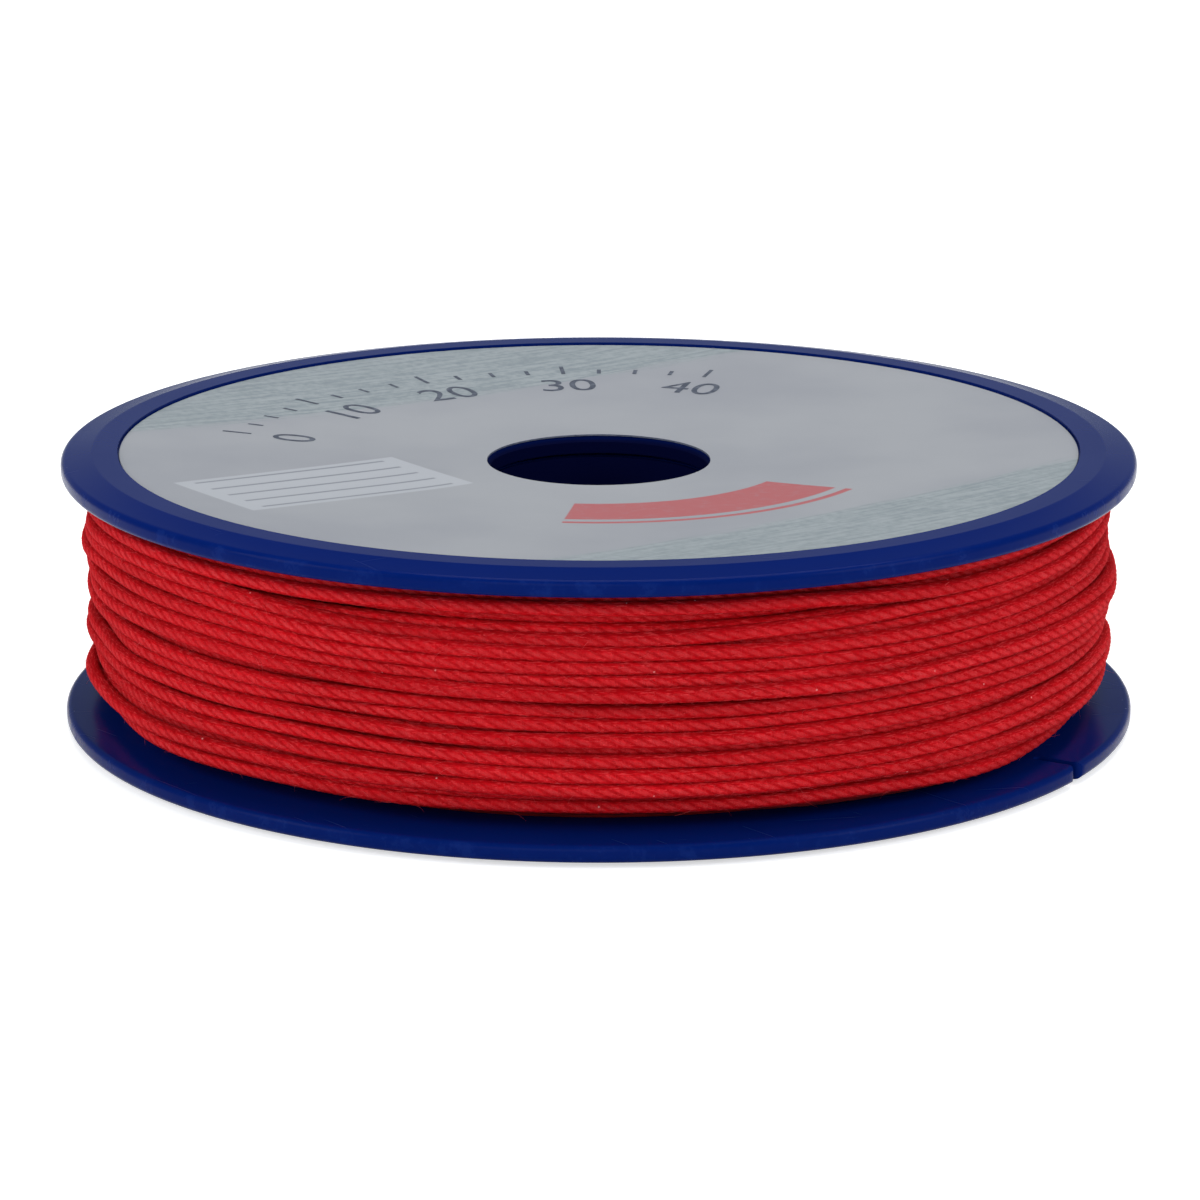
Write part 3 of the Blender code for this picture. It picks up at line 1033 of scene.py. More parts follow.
@dataclass
class Lathe:
    """Turns closed profiles about the reel's axis."""

    segments: int = 288
    arc_steps: int = 8
    loop_margin: float = 0.00006
    corner_angle: float = math.radians(6)
    sharp_angle: float = math.radians(28)

    def arc(self, centre: Point, radius: float, start: float, end: float) -> list[Point]:
        """Points of a circular arc from start to end, in degrees, both ends included."""
        angles = np.radians(np.linspace(start, end, self.arc_steps + 1))
        return [(centre[0] + radius * math.cos(a), centre[1] + radius * math.sin(a)) for a in angles]

    def held(self, profile: list[Point]) -> list[Point]:
        """The profile with a support point beside each corner, on the sides that are long enough.

        Args:
            profile: A closed profile.

        Returns:
            The profile with more points and the same shape.
        """
        outline = np.array(profile)
        side = np.roll(outline, -1, axis=0) - outline
        length = np.hypot(side[:, 0], side[:, 1])
        heading = np.arctan2(side[:, 1], side[:, 0])
        turn = np.abs((heading - np.roll(heading, 1) + math.pi) % math.tau - math.pi)
        points = []
        for i, start in enumerate(outline):
            points.append(start)
            if length[i] < 6 * self.loop_margin:
                continue
            share = self.loop_margin / length[i]
            if turn[i] > self.corner_angle:
                points.append(start + side[i] * share)
            if turn[(i + 1) % len(outline)] > self.corner_angle:
                points.append(start + side[i] * (1.0 - share))
        return [tuple(point) for point in points]

    def turn(self, name: str, profile: list[Point]) -> bpy.types.Object:
        """A solid of revolution.

        Args:
            name: The object's name.
            profile: Its closed profile, down the outer side and back up the inside.

        Returns:
            The object.
        """
        outline = np.array(self.held(profile))
        count = len(outline)
        angles = math.tau * np.arange(self.segments) / self.segments
        points = np.empty((self.segments, count, 3))
        points[..., 0] = np.cos(angles)[:, None] * outline[None, :, 0]
        points[..., 1] = np.sin(angles)[:, None] * outline[None, :, 0]
        points[..., 2] = outline[None, :, 1]
        faces = MeshMaker.grid(self.segments, count, closed=True)
        obj = MeshMaker.from_arrays(name, points.reshape(-1, 3), faces)
        obj.data.set_sharp_from_angle(angle=self.sharp_angle)
        return obj


@dataclass
class Moulding:
    """What the two mouldings of the reel share: rims, cutters and the way they are finished."""

    sizes: ReelSizes
    finish: MouldedPlastic
    lathe: Lathe = field(default_factory=Lathe)

    def upper_rim(self) -> list[Point]:
        """Rim of the upper flange, from the flat of its outer face down to its inner face.

        Returns:
            Its points.
        """
        s = self.sizes
        shoulder = s.rim_radius - s.rim_edge_radius
        edge_top = s.height - s.rim_slope_drop
        return [
            (s.rim_radius - s.rim_slope_width, s.height),
            *self.lathe.arc((shoulder, edge_top - s.rim_edge_radius), s.rim_edge_radius, 90, 0),
            *self.lathe.arc((shoulder, s.upper_inside + s.rim_edge_radius), s.rim_edge_radius, 0, -90),
        ]

    def lower_rim(self) -> list[Point]:
        """The same rim upside down, from the lower flange's inner face to its outer face."""
        return [(radius, self.sizes.height - height) for radius, height in reversed(self.upper_rim())]

    def snap_ridge(self, radius: float, widening: float) -> list[Point]:
        """The snap bead on a wall, from bottom to top. The groove is a wider one.

        Args:
            radius: The wall's radius.
            widening: How much taller than the bead it is, above and below.

        Returns:
            Its four points.
        """
        s = self.sizes
        level = s.hub_inside - s.snap_depth
        foot = 1.5 * s.snap_bead + widening
        crest = 0.5 * s.snap_bead + widening
        return [
            (radius, level - foot),
            (radius + s.snap_bead, level - crest),
            (radius + s.snap_bead, level + crest),
            (radius, level + foot),
        ]

    def spokes(self, name: str, reach: Point, width: float, levels: Point) -> bpy.types.Object:
        """Equal boxes spread round the axis.

        Args:
            name: The object's name.
            reach: The radii at which each box starts and ends.
            width: Its width.
            levels: The heights of its lower and upper face.

        Returns:
            One object with all of them.
        """
        sides = (-width / 2, width / 2)
        corner = np.array([(x, y, z) for x in reach for y in sides for z in levels])
        box = np.array([(0, 1, 3, 2), (4, 6, 7, 5), (0, 4, 5, 1), (2, 3, 7, 6), (0, 2, 6, 4), (1, 5, 7, 3)])
        points, faces = [], []
        for i in range(self.sizes.rib_count):
            turn = np.array(Matrix.Rotation(math.tau * i / self.sizes.rib_count, 3, "Z"))
            points.append(corner @ turn.T)
            faces.append(box + len(corner) * i)
        return MeshMaker.from_arrays(name, np.concatenate(points), np.concatenate(faces))

    def combined(self, obj: bpy.types.Object, other: bpy.types.Object, operation: str) -> bpy.types.Object:
        """Adds another solid to this one, or cuts it away, and removes the other.

        Args:
            obj: The solid that stays.
            other: The solid that is used up.
            operation: UNION or DIFFERENCE.

        Returns:
            The first object.
        """
        boolean = obj.modifiers.new(operation.lower(), "BOOLEAN")
        boolean.operation = operation
        boolean.solver = "EXACT"
        boolean.object = other
        MeshMaker.settled(obj)
        bpy.data.objects.remove(other, do_unlink=True)
        return obj

    def finished(self, obj: bpy.types.Object, node: Node, slot: Slot) -> bpy.types.Object:
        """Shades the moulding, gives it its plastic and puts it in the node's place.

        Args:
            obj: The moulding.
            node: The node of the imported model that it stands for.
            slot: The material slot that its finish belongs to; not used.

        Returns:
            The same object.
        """
        obj.data.shade_smooth()
        obj.data.set_sharp_from_angle(angle=self.lathe.sharp_angle)
        obj.data.materials.clear()
        obj.data.materials.append(self.finish.material())
        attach(obj, "root")
        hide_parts(node.value)
        return obj


@dataclass
class ReelBody(Moulding):
    """Lower flange, drum, bore tube and ribs in one moulding, with the catch slit in its rim."""

    drum_fillet: float = 0.0008
    rib_setback: float = 0.0010
    underside_relief: float = 0.00035
    rest_ring_width: float = 0.0018
    hub_foot_width: float = 0.0016
    slit_azimuth: float = math.radians(-30.5)
    slit_width: float = 0.0008
    slit_length: float = 0.0035
    slit_mouth_radius: float = 0.0006

    def flange_profile(self) -> list[Point]:
        """Lower flange and drum.

        Returns:
            The closed profile.
        """
        s = self.sizes
        ring_inside = s.rim_radius - s.rim_slope_width - self.rest_ring_width
        foot = s.drum_inside + self.hub_foot_width
        corner = (s.drum_radius + self.drum_fillet, s.lower_inside + self.drum_fillet)
        return [
            (s.drum_inside, s.hub_top),
            (s.drum_radius, s.hub_top),
            *self.lathe.arc(corner, self.drum_fillet, 180, 270),
            *self.lower_rim(),
            (ring_inside, 0.0),
            (ring_inside, self.underside_relief),
            (foot, self.underside_relief),
            (foot, 0.0),
            (s.drum_inside, 0.0),
            *self.snap_ridge(s.drum_inside, s.fit_gap),
        ]

    def tube_profile(self) -> list[Point]:
        """Tube that turns on the spindle, chamfered at its lower mouth.

        Returns:
            The closed profile.
        """
        s = self.sizes
        outside = s.bore_radius + s.bore_tube_wall
        return [
            (s.bore_radius, s.hub_top),
            (outside, s.hub_top),
            (outside, 0.0),
            (s.bore_radius + s.bore_chamfer, 0.0),
            (s.bore_radius, s.bore_chamfer),
        ]

    def slit_cutter(self) -> bpy.types.Object:
        """The round-ended slot whose outer corners are rounded away, as a solid.

        Returns:
            The object.
        """
        s = self.sizes
        half = self.slit_width / 2
        root = s.rim_radius - self.slit_length + half
        mouth = s.rim_radius - self.slit_mouth_radius
        side = half + self.slit_mouth_radius
        clear = s.rim_radius + self.slit_length
        outline = [
            *self.lathe.arc((mouth, -side), self.slit_mouth_radius, 0, 90),
            *self.lathe.arc((root, 0.0), half, 270, 90),
            *self.lathe.arc((mouth, side), self.slit_mouth_radius, -90, 0),
            (clear, side),
            (clear, -side),
        ]
        count = len(outline)
        low, high = -s.flange_thickness / 2, 1.5 * s.flange_thickness
        points = [(x, y, z) for z in (low, high) for x, y in outline]
        faces = [tuple(range(count)), tuple(range(2 * count - 1, count - 1, -1))]
        for i in range(count):
            j = (i + 1) % count
            faces.append((j, i, i + count, j + count))
        mesh = bpy.data.meshes.new("slit_cutter")
        mesh.from_pydata(points, [], faces)
        mesh.transform(Matrix.Rotation(self.slit_azimuth, 4, "Z"))
        return MeshMaker.placed("slit_cutter", mesh)

    def build(self) -> bpy.types.Object:
        """The moulding, in its place.

        Returns:
            The object.
        """
        s = self.sizes
        tube = self.lathe.turn("bore_tube", self.tube_profile())
        ribs = self.spokes(
            "ribs",
            (s.bore_radius + s.bore_tube_wall / 2, s.drum_radius - s.drum_wall / 2),
            s.rib_thickness,
            (self.rib_setback, s.hub_inside - s.slot_root - s.fit_gap),
        )
        body = self.lathe.turn("lower_moulding", self.flange_profile())
        self.combined(tube, ribs, "UNION")
        self.combined(body, tube, "UNION")
        self.combined(body, self.slit_cutter(), "DIFFERENCE")
        return self.finished(body, Node.BODY, Slot.BODY)


@dataclass
class ReelCap(Moulding):
    """Upper flange with the label's seat, and the slotted spigot under it."""

    spigot_height: float = 0.0050
    spigot_wall: float = 0.0012
    spigot_lead_in: float = 0.0004

    def profile(self) -> list[Point]:
        """The cap before its spigot is slotted.

        Returns:
            The closed profile.
        """
        s = self.sizes
        seat = s.height - s.label_seat_depth
        spigot = s.drum_inside - s.fit_gap
        end = s.hub_inside - self.spigot_height
        return [
            (s.bore_radius, seat - s.bore_chamfer - s.dip(s.bore_radius)),
            *s.dished(seat, s.bore_radius + s.bore_chamfer, s.label_seat_radius),
            (s.label_seat_radius, s.height),
            *self.upper_rim(),
            *s.dished(s.upper_inside, s.label_seat_radius, spigot),
            *reversed(self.snap_ridge(spigot, 0.0)),
            (spigot, end + self.spigot_lead_in),
            (spigot - self.spigot_lead_in, end),
            (spigot - self.spigot_wall, end),
            *s.dished(s.upper_inside, spigot - self.spigot_wall, s.bore_radius),
        ]

    def build(self) -> bpy.types.Object:
        """The moulding, in its place.

        Returns:
            The object.
        """
        s = self.sizes
        cap = self.lathe.turn("upper_moulding", self.profile())
        slots = self.spokes(
            "spigot_slots",
            (s.bore_radius + s.bore_tube_wall, s.drum_radius),
            s.rib_thickness + 2 * s.fit_gap,
            (s.hub_inside - 2 * self.spigot_height, s.hub_inside - s.slot_root),
        )
        self.combined(cap, slots, "DIFFERENCE")
        return self.finished(cap, Node.CAP, Slot.CAP)


@dataclass
class LabelCard:
    """The round printed label with its centre hole, and the plain scale printed on it."""

    sizes: ReelSizes
    card: CoatedCard
    edge: CardEdge
    ink: PrintInk
    lathe: Lathe = field(default_factory=Lathe)
    thickness: float = 0.00014
    seat_gap: float = 0.00002
    side_gap: float = 0.00012
    rounding: float = 0.00004
    face_slope: float = 0.5
    ink_lift: float = 0.000012
    scale_radius: float = 0.0262
    tick_length: float = 0.0022
    tick_width: float = 0.00032
    scale_start: float = math.radians(72)
    scale_step: float = math.radians(6.0)
    scale_ticks: int = 17
    ticks_per_figure: int = 4
    short_tick: float = 0.55
    highest_figure: int = 40
    figure_step: int = 10
    figure_height: float = 0.0046
    figure_setback: float = 0.75
    figure_smoothness: int = 6

    @property
    def face(self) -> float:
        """Height of the printed face at the card's edge. The card lies on its seat."""
        return self.sizes.height - self.sizes.label_seat_depth + self.seat_gap + self.thickness

    def profile(self) -> list[Point]:
        """The card's section, with its upper edges rounded. It follows the dip of its seat.

        Returns:
            The closed profile.
        """
        s = self.sizes
        r = self.rounding
        inner, outer = s.label_hole_radius, s.label_seat_radius - self.side_gap
        inner_face, outer_face = self.face - s.dip(inner), self.face - s.dip(outer)
        return [
            *self.lathe.arc((inner + r, inner_face - r), r, 180, 90),
            *s.dished(self.face, inner + 2 * r, outer - 2 * r),
            *self.lathe.arc((outer - r, outer_face - r), r, 90, 0),
            *s.dished(self.face - self.thickness, outer, inner),
        ]

    def build_card(self) -> bpy.types.Object:
        """The card itself: its face in print, its cut edge and back painted dark as shade.

        Returns:
            The object.
        """
        card = self.lathe.turn("round_label", self.profile())
        card.data.materials.append(self.card.material())
        card.data.materials.append(self.edge.material())
        for polygon in card.data.polygons:
            polygon.material_index = 0 if polygon.normal.z > self.face_slope else 1
        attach(card, "root")
        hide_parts(Node.LABEL.value)
        return card

    def bearing(self, number: int) -> float:
        """Where round the axis a tick of the scale stands."""
        return self.scale_start + number * self.scale_step

    def tick(self, bearing: float, length: float) -> np.ndarray:
        """The four corners of one tick of the scale, seen from above.

        Args:
            bearing: Where round the axis it stands.
            length: How far it reaches outwards.

        Returns:
            The X and Y of its corners, one row each.
        """
        out = np.array((math.cos(bearing), math.sin(bearing)))
        side = np.array((-out[1], out[0])) * self.tick_width / 2
        near = out * self.scale_radius
        far = out * (self.scale_radius + length)
        return np.array([near - side, far - side, far + side, near + side])

    def build_ticks(self) -> bpy.types.Object:
        """The ticks of the scale, of which those at a figure are longer.

        Returns:
            The object.
        """
        corners = []
        for i in range(self.scale_ticks):
            share = self.short_tick if i % self.ticks_per_figure else 1.0
            corners.append(self.tick(self.bearing(i), self.tick_length * share))
        faces = np.arange(4 * len(corners)).reshape(-1, 4)
        flat = np.concatenate(corners)
        points = np.hstack([flat, np.zeros((len(flat), 1))])
        return self.inked(MeshMaker.from_arrays("label_scale_ticks", points, faces))

    def inked(self, obj: bpy.types.Object) -> bpy.types.Object:
        """Lays a flat shape on the label's face, where it is print, and gives it its ink.

        Args:
            obj: The shape, at height 0.

        Returns:
            The same object.
        """
        for vertex in obj.data.vertices:
            radius = math.hypot(vertex.co.x, vertex.co.y)
            vertex.co.z = self.face - self.sizes.dip(radius) + self.ink_lift
        obj.data.materials.clear()
        obj.data.materials.append(self.ink.material())
        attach(obj, "root")
        return obj

    def build_figure(self, number: int, bearing: float) -> bpy.types.Object:
        """One plain number inside the scale, upright when read from the axis outwards.

        Args:
            number: The number.
            bearing: Where round the axis it stands.

        Returns:
            The object.
        """
        curve = bpy.data.curves.new(f"figure_{number}", "FONT")
        curve.body = str(number)
        curve.size = self.figure_height
        curve.align_x = "CENTER"
        curve.align_y = "CENTER"
        curve.resolution_u = self.figure_smoothness
        text = MeshMaker.placed(f"figure_{number}_curve", curve)
        bpy.context.view_layer.update()
        depsgraph = bpy.context.evaluated_depsgraph_get()
        mesh = bpy.data.meshes.new_from_object(text.evaluated_get(depsgraph))
        bpy.data.objects.remove(text, do_unlink=True)
        middle = self.scale_radius - self.figure_setback * self.figure_height
        place = Matrix.Translation((middle * math.cos(bearing), middle * math.sin(bearing), 0.0))
        mesh.transform(place @ Matrix.Rotation(bearing - math.pi / 2, 4, "Z"))
        return self.inked(MeshMaker.placed(f"label_figure_{number}", mesh))

    def build(self) -> list[bpy.types.Object]:
        """The label and its print.

        Returns:
            The card, the ticks and the figures.
        """
        pieces = [self.build_card(), self.build_ticks()]
        for place, tick in enumerate(range(0, self.scale_ticks, self.ticks_per_figure)):
            number = self.highest_figure - self.figure_step * place
            pieces.append(self.build_figure(number, self.bearing(tick)))
        return pieces


# Twine


@dataclass(frozen=True)
class LayerPlan:
    """How close to the two flanges one layer is wound."""

    lower_margin: float
    upper_margin: float


@dataclass(frozen=True)
class Hump:
    """A high or low place in the winding's outline, round one bearing and one height."""

    azimuth: float
    height: float
    rise: float
    width: float
    reach: float


@dataclass
class TwineRoute:
    """The centre line of the wound twine, as angle, height and radius at even angles."""

    angles: np.ndarray
    heights: np.ndarray
    radii: np.ndarray

    def points(self) -> np.ndarray:
        """The points of the centre line."""
        x, y = self.radii * np.cos(self.angles), self.radii * np.sin(self.angles)
        return np.stack([x, y, self.heights], axis=1)

    def even(self, spacing: float) -> "TwineRoute":
        """The same route with its points at even distances along it.

        Args:
            spacing: The distance.

        Returns:
            The new route.
        """
        steps = np.linalg.norm(np.diff(self.points(), axis=0), axis=1)
        run = np.concatenate([[0.0], np.cumsum(steps)])
        count = int(run[-1] / spacing)
        wanted = np.linspace(0.0, run[-1], count + 1)
        rows = (self.angles, self.heights, self.radii)
        return TwineRoute(*(np.interp(wanted, run, values) for values in rows))


@dataclass
class WindingMachine:
    """Winds twine on the reel, turn by turn, on a map of the winding's outer surface.

    Each turn follows a guide that travels from flange to flange, slips into the grooves near it,
    and is drawn tight over what lies below. The map holds the surface's radius at even angles and
    heights. Once all the turns are on, the whole winding is eased in or out to its real outline.

    Wanderings and unevenness are pairs of waves to the turn and their swing, for wanderings in wander_unit.
    """

    sizes: ReelSizes
    twine_radius: float = 0.00056
    packed_radius: float = 0.00049
    pitch: float = 0.00106
    inner_radius: float = 0.0330
    crest_radius: float = 0.03725
    columns: int = 720
    row_step: float = 0.00005
    slip: float = 0.00055
    slip_choices: int = 23
    knot_step: int = 3
    guide_pull: float = 450.0
    stiffness: float = 4000.0
    deepest_fall: float = 0.0007
    side_spread: float = 12.0
    rise_spread: float = 5.0
    tightening_rounds: int = 300
    look_ahead: int = 60
    dwell: int = 240
    last_dwell: int = 420
    start: float = math.radians(90)
    seed: int = 21
    ripples: int = 5
    ripple_waves: tuple[int, int] = (1, 5)
    ripple_length: Point = (0.003, 0.008)
    ripple_rise: float = 0.00006
    outline_blur_degrees: float = 14
    outline_blur_height: float = 0.0013
    wander_unit: float = 0.001
    wanderings: tuple[Point, ...] = (
        (0.09, 0.16),
        (0.37, 0.20),
        (0.83, 0.16),
        (1.31, 0.13),
        (1.93, 0.08),
        (2.71, 0.05),
    )
    unevenness: tuple[Point, ...] = ((0.23, 0.00006), (0.57, 0.00007), (1.37, 0.00005), (2.61, 0.00003))
    layers: tuple[LayerPlan, ...] = (
        LayerPlan(0.0000, 0.0000),
        LayerPlan(0.0006, 0.0002),
        LayerPlan(0.0014, 0.0003),
        LayerPlan(0.0017, 0.0003),
    )
    humps: tuple[Hump, ...] = (
        Hump(math.radians(-90), 0.0016, -0.00150, 0.0012, math.radians(56)),
        Hump(math.radians(-14), 0.0016, -0.00190, 0.0014, math.radians(15)),
        Hump(math.radians(-44), 0.0026, 0.00070, 0.0010, math.radians(9)),
        Hump(math.radians(-173), 0.0148, 0.00012, 0.0014, math.radians(42)),
        Hump(math.radians(-173), 0.0090, -0.00038, 0.0020, math.radians(44)),
        Hump(math.radians(-173), 0.0036, 0.00014, 0.0016, math.radians(40)),
        Hump(math.radians(-7), 0.0140, -0.00030, 0.0012, math.radians(36)),
        Hump(math.radians(-7), 0.0115, 0.00050, 0.0013, math.radians(36)),
        Hump(math.radians(-7), 0.0082, -0.00010, 0.0013, math.radians(34)),
        Hump(math.radians(-7), 0.0040, 0.00030, 0.0014, math.radians(38)),
        Hump(math.radians(-80), 0.0105, 0.00010, 0.0020, math.radians(30)),
        Hump(math.radians(-105), 0.0066, -0.00010, 0.0016, math.radians(34)),
        Hump(math.radians(60), 0.0070, 0.00025, 0.0022, math.radians(40)),
        Hump(math.radians(110), 0.0125, 0.00020, 0.0020, math.radians(36)),
    )

    def __post_init__(self) -> None:
        """Sets up the map's grid."""
        self.random = np.random.default_rng(self.seed)
        self.rows = np.arange(self.sizes.lower_inside, self.sizes.upper_inside, self.row_step)
        self.azimuths = self.start + math.tau * np.arange(self.columns) / self.columns

    def inner_surface(self) -> np.ndarray:
        """The rippled surface of the inner layers.

        Returns:
            Radius by angle and height.
        """
        surface = np.full((self.columns, len(self.rows)), self.inner_radius)
        for _ in range(self.ripples):
            waves = self.random.integers(*self.ripple_waves)
            length = self.random.uniform(*self.ripple_length)
            phase = self.random.uniform(0, math.tau, 2)
            swing = np.sin(waves * self.azimuths + phase[0])
            along = np.sin(math.tau * self.rows / length + phase[1])
            surface += self.ripple_rise * swing[:, None] * along[None, :]
        return surface

    def outline(self) -> np.ndarray:
        """The radius at which the outermost centre line lies, with the winding's humps and hollows.

        Returns:
            Radius by angle and height.
        """
        surface = np.full((self.columns, len(self.rows)), self.crest_radius - self.twine_radius)
        for hump in self.humps:
            bearing = (self.azimuths - hump.azimuth + math.pi) % math.tau - math.pi
            round_axis = np.exp(-0.5 * (bearing / hump.reach) ** 2)
            along_axis = np.exp(-0.5 * ((self.rows - hump.height) / hump.width) ** 2)
            surface += hump.rise * round_axis[:, None] * along_axis[None, :]
        return surface

    def guide_heights(self) -> tuple[np.ndarray, int, int]:
        """Heights of the guide along the whole route, with its small wanderings.

        Returns:
            The heights, where the last two layers start, and where the last one starts.
        """
        runs = []
        for number, plan in enumerate(self.layers):
            low = self.sizes.lower_inside + plan.lower_margin + self.twine_radius
            high = self.sizes.upper_inside - plan.upper_margin - self.twine_radius
            last = number == len(self.layers) - 1
            rest = self.last_dwell if last else self.dwell
            count = round((high - low) / self.pitch) * self.columns - rest
            climb = np.linspace(low, high, count, endpoint=False)
            runs.append(climb if number % 2 == 0 else climb[::-1])
            runs.append(np.full(rest, runs[-1][-1]))
        guide = np.concatenate(runs)
        turns = np.arange(len(guide)) / self.columns
        for rate, swing in self.wanderings:
            phase = self.random.uniform(0, math.tau)
            guide = guide + swing * self.wander_unit * np.sin(math.tau * rate * turns + phase)
        lengths = [len(run) for run in runs]
        return self.kept_inside(guide), sum(lengths[:-4]), sum(lengths[:-2])

    def kept_inside(self, heights: np.ndarray) -> np.ndarray:
        """Heights kept a twine's radius from both flanges.

        Args:
            heights: The heights.

        Returns:
            The heights, clipped.
        """
        low = self.sizes.lower_inside + self.twine_radius
        high = self.sizes.upper_inside - self.sizes.dip(self.inner_radius) - self.twine_radius
        return np.clip(heights, low, high)

    def seats(self, surface: np.ndarray) -> np.ndarray:
        """The radius at which a turn's centre comes to lie, by angle and height.

        Args:
            surface: The surface that it lies on.

        Returns:
            The radii.
        """
        reach = int(self.packed_radius / self.row_step)
        padded = np.pad(surface, ((0, 0), (reach, reach)), mode="edge")
        seat = np.zeros_like(surface)
        for shift in range(-reach, reach + 1):
            rise = math.sqrt(self.packed_radius**2 - (shift * self.row_step) ** 2)
            part = padded[:, reach + shift : reach + shift + surface.shape[1]]
            seat = np.maximum(seat, part + rise)
        return seat

    def read(self, values: np.ndarray, column: np.ndarray, heights: np.ndarray) -> np.ndarray:
        """A map's value at these angles and heights.

        Args:
            values: The map.
            column: The angle's number, for each point.
            heights: The heights, with one more axis where each angle has several.

        Returns:
            The values, in the shape of heights.
        """
        place = np.clip((heights - self.rows[0]) / self.row_step, 0, len(self.rows) - 1.001)
        low = place.astype(int)
        share = place - low
        return values[column, low] * (1 - share) + values[column, low + 1] * share

    def slipped(self, seat: np.ndarray, first: int, guide: np.ndarray, held: float) -> np.ndarray:
        """How far a turn slips from its guide, so that it lies deep without sharp bends.

        Args:
            seat: The map of seats.
            first: The turn's first point.
            guide: The guide's heights.
            held: How far the point before the first one had slipped.

        Returns:
            The slip at each point.
        """
        slips = np.linspace(-self.slip, self.slip, self.slip_choices)
        knots = np.arange(0, len(guide), self.knot_step)
        heights = self.kept_inside(guide[knots][:, None] + slips[None, :])
        depth = self.read(seat, ((first + knots) % self.columns)[:, None], heights)
        depth -= np.median(depth, axis=1, keepdims=True)
        cost = np.maximum(depth, -self.deepest_fall) + self.guide_pull * slips[None, :] ** 2
        bend = self.stiffness * (slips[:, None] - slips[None, :]) ** 2
        total = cost[0] + self.stiffness * (slips - held) ** 2
        origin = np.zeros((len(knots), len(slips)), int)
        for i in range(1, len(knots)):
            reached = total[None, :] + bend
            origin[i] = np.argmin(reached, axis=1)
            total = np.min(reached, axis=1) + cost[i]
        path = [int(np.argmin(total))]
        for i in range(len(knots) - 1, 0, -1):
            path.append(int(origin[i, path[-1]]))
        return np.interp(np.arange(len(guide)), knots, slips[path[::-1]])

    def drawn_tight(self, contact: np.ndarray) -> np.ndarray:
        """The radius of a taut line that touches what lies below only where it must.

        Args:
            contact: The least radius at each angle.

        Returns:
            The radii.
        """
        bend = 2.0 * math.cos(math.tau / self.columns)
        radii = contact.copy()
        for _ in range(self.tightening_rounds):
            inverse = 1.0 / radii
            straight = bend / (inverse[:-2] + inverse[2:])
            radii[1:-1] = np.maximum(contact[1:-1], straight)
        return radii

    def lay(self, surface: np.ndarray, column: np.ndarray, heights: np.ndarray, radii: np.ndarray) -> None:
        """Raises the surface by the twine that now lies on it.

        Args:
            surface: The map, which is changed.
            column: The angle's number, for each point.
            heights: The twine's heights.
            radii: The twine's radii.
        """
        away = self.rows[None, :] - heights[:, None]
        inside = np.clip(self.packed_radius**2 - away**2, 0.0, None)
        crown = np.where(inside > 0, radii[:, None] + np.sqrt(inside), 0.0)
        surface[column] = np.maximum(surface[column], crown)

    def correction(self, heights: np.ndarray, radii: np.ndarray, last: int) -> np.ndarray:
        """How far the winding has to come out, here and there, to have its real outline.

        Args:
            heights: The heights of the whole route.
            radii: Its radii.
            last: Where its last layer starts.

        Returns:
            The shift by angle and height.
        """
        point = np.arange(last, len(heights))
        row = np.round((heights[last:] - self.rows[0]) / self.row_step).astype(int)
        total = np.zeros((self.columns, len(self.rows)))
        count = np.zeros_like(total)
        np.add.at(total, (point % self.columns, row), radii[last:])
        np.add.at(count, (point % self.columns, row), 1.0)
        around = self.outline_blur_degrees * self.columns / 360
        along = self.outline_blur_height / self.row_step
        mean = blurred(total, around, along) / np.maximum(blurred(count, around, along), 1e-9)
        return self.outline() - mean

    def wind(self) -> tuple[TwineRoute, np.ndarray]:
        """Winds all the layers.

        Returns:
            The route of the last two layers, and the surface below them.
        """
        guide, outer, last_layer = self.guide_heights()
        heights = np.empty_like(guide)
        radii = np.empty_like(guide)
        surface = self.inner_surface()
        under = surface
        held = 0.0
        for first in range(0, len(guide), self.columns):
            last = min(first + self.columns, len(guide))
            ahead = min(last + self.look_ahead, len(guide))
            behind = max(first - self.look_ahead, 0)
            seat = self.seats(surface)
            slip = self.slipped(seat, first, guide[first:ahead], held)
            held = slip[last - first - 1]
            chosen = self.kept_inside(guide[first:ahead] + slip)
            run = smoothed(np.concatenate([heights[behind:first], chosen]), self.side_spread)
            heights[first:last] = self.kept_inside(run[first - behind : last - behind])
            run[: first - behind] = heights[behind:first]
            contact = self.read(seat, np.arange(behind, ahead) % self.columns, run)
            contact[: first - behind] = radii[behind:first]
            tight = smoothed(self.drawn_tight(contact), self.rise_spread)
            radii[first:last] = tight[first - behind : last - behind]
            if first <= outer < last:
                under = surface.copy()
            self.lay(surface, np.arange(first, last) % self.columns, heights[first:last], radii[first:last])
        shift = self.correction(heights, radii, last_layer)
        radii = radii + self.read(shift, np.arange(len(guide)) % self.columns, heights)
        angles = self.start + math.tau * np.arange(len(guide)) / self.columns
        for rate, swing in self.unevenness:
            radii = radii + swing * np.sin(rate * angles + self.random.uniform(0, math.tau))
        end = math.degrees(angles[-1]) % 360
        log.info("winding: %.1f turns, ends at %.0f degrees", len(guide) / self.columns, end)
        return TwineRoute(angles[outer:], heights[outer:], radii[outer:]), under + shift


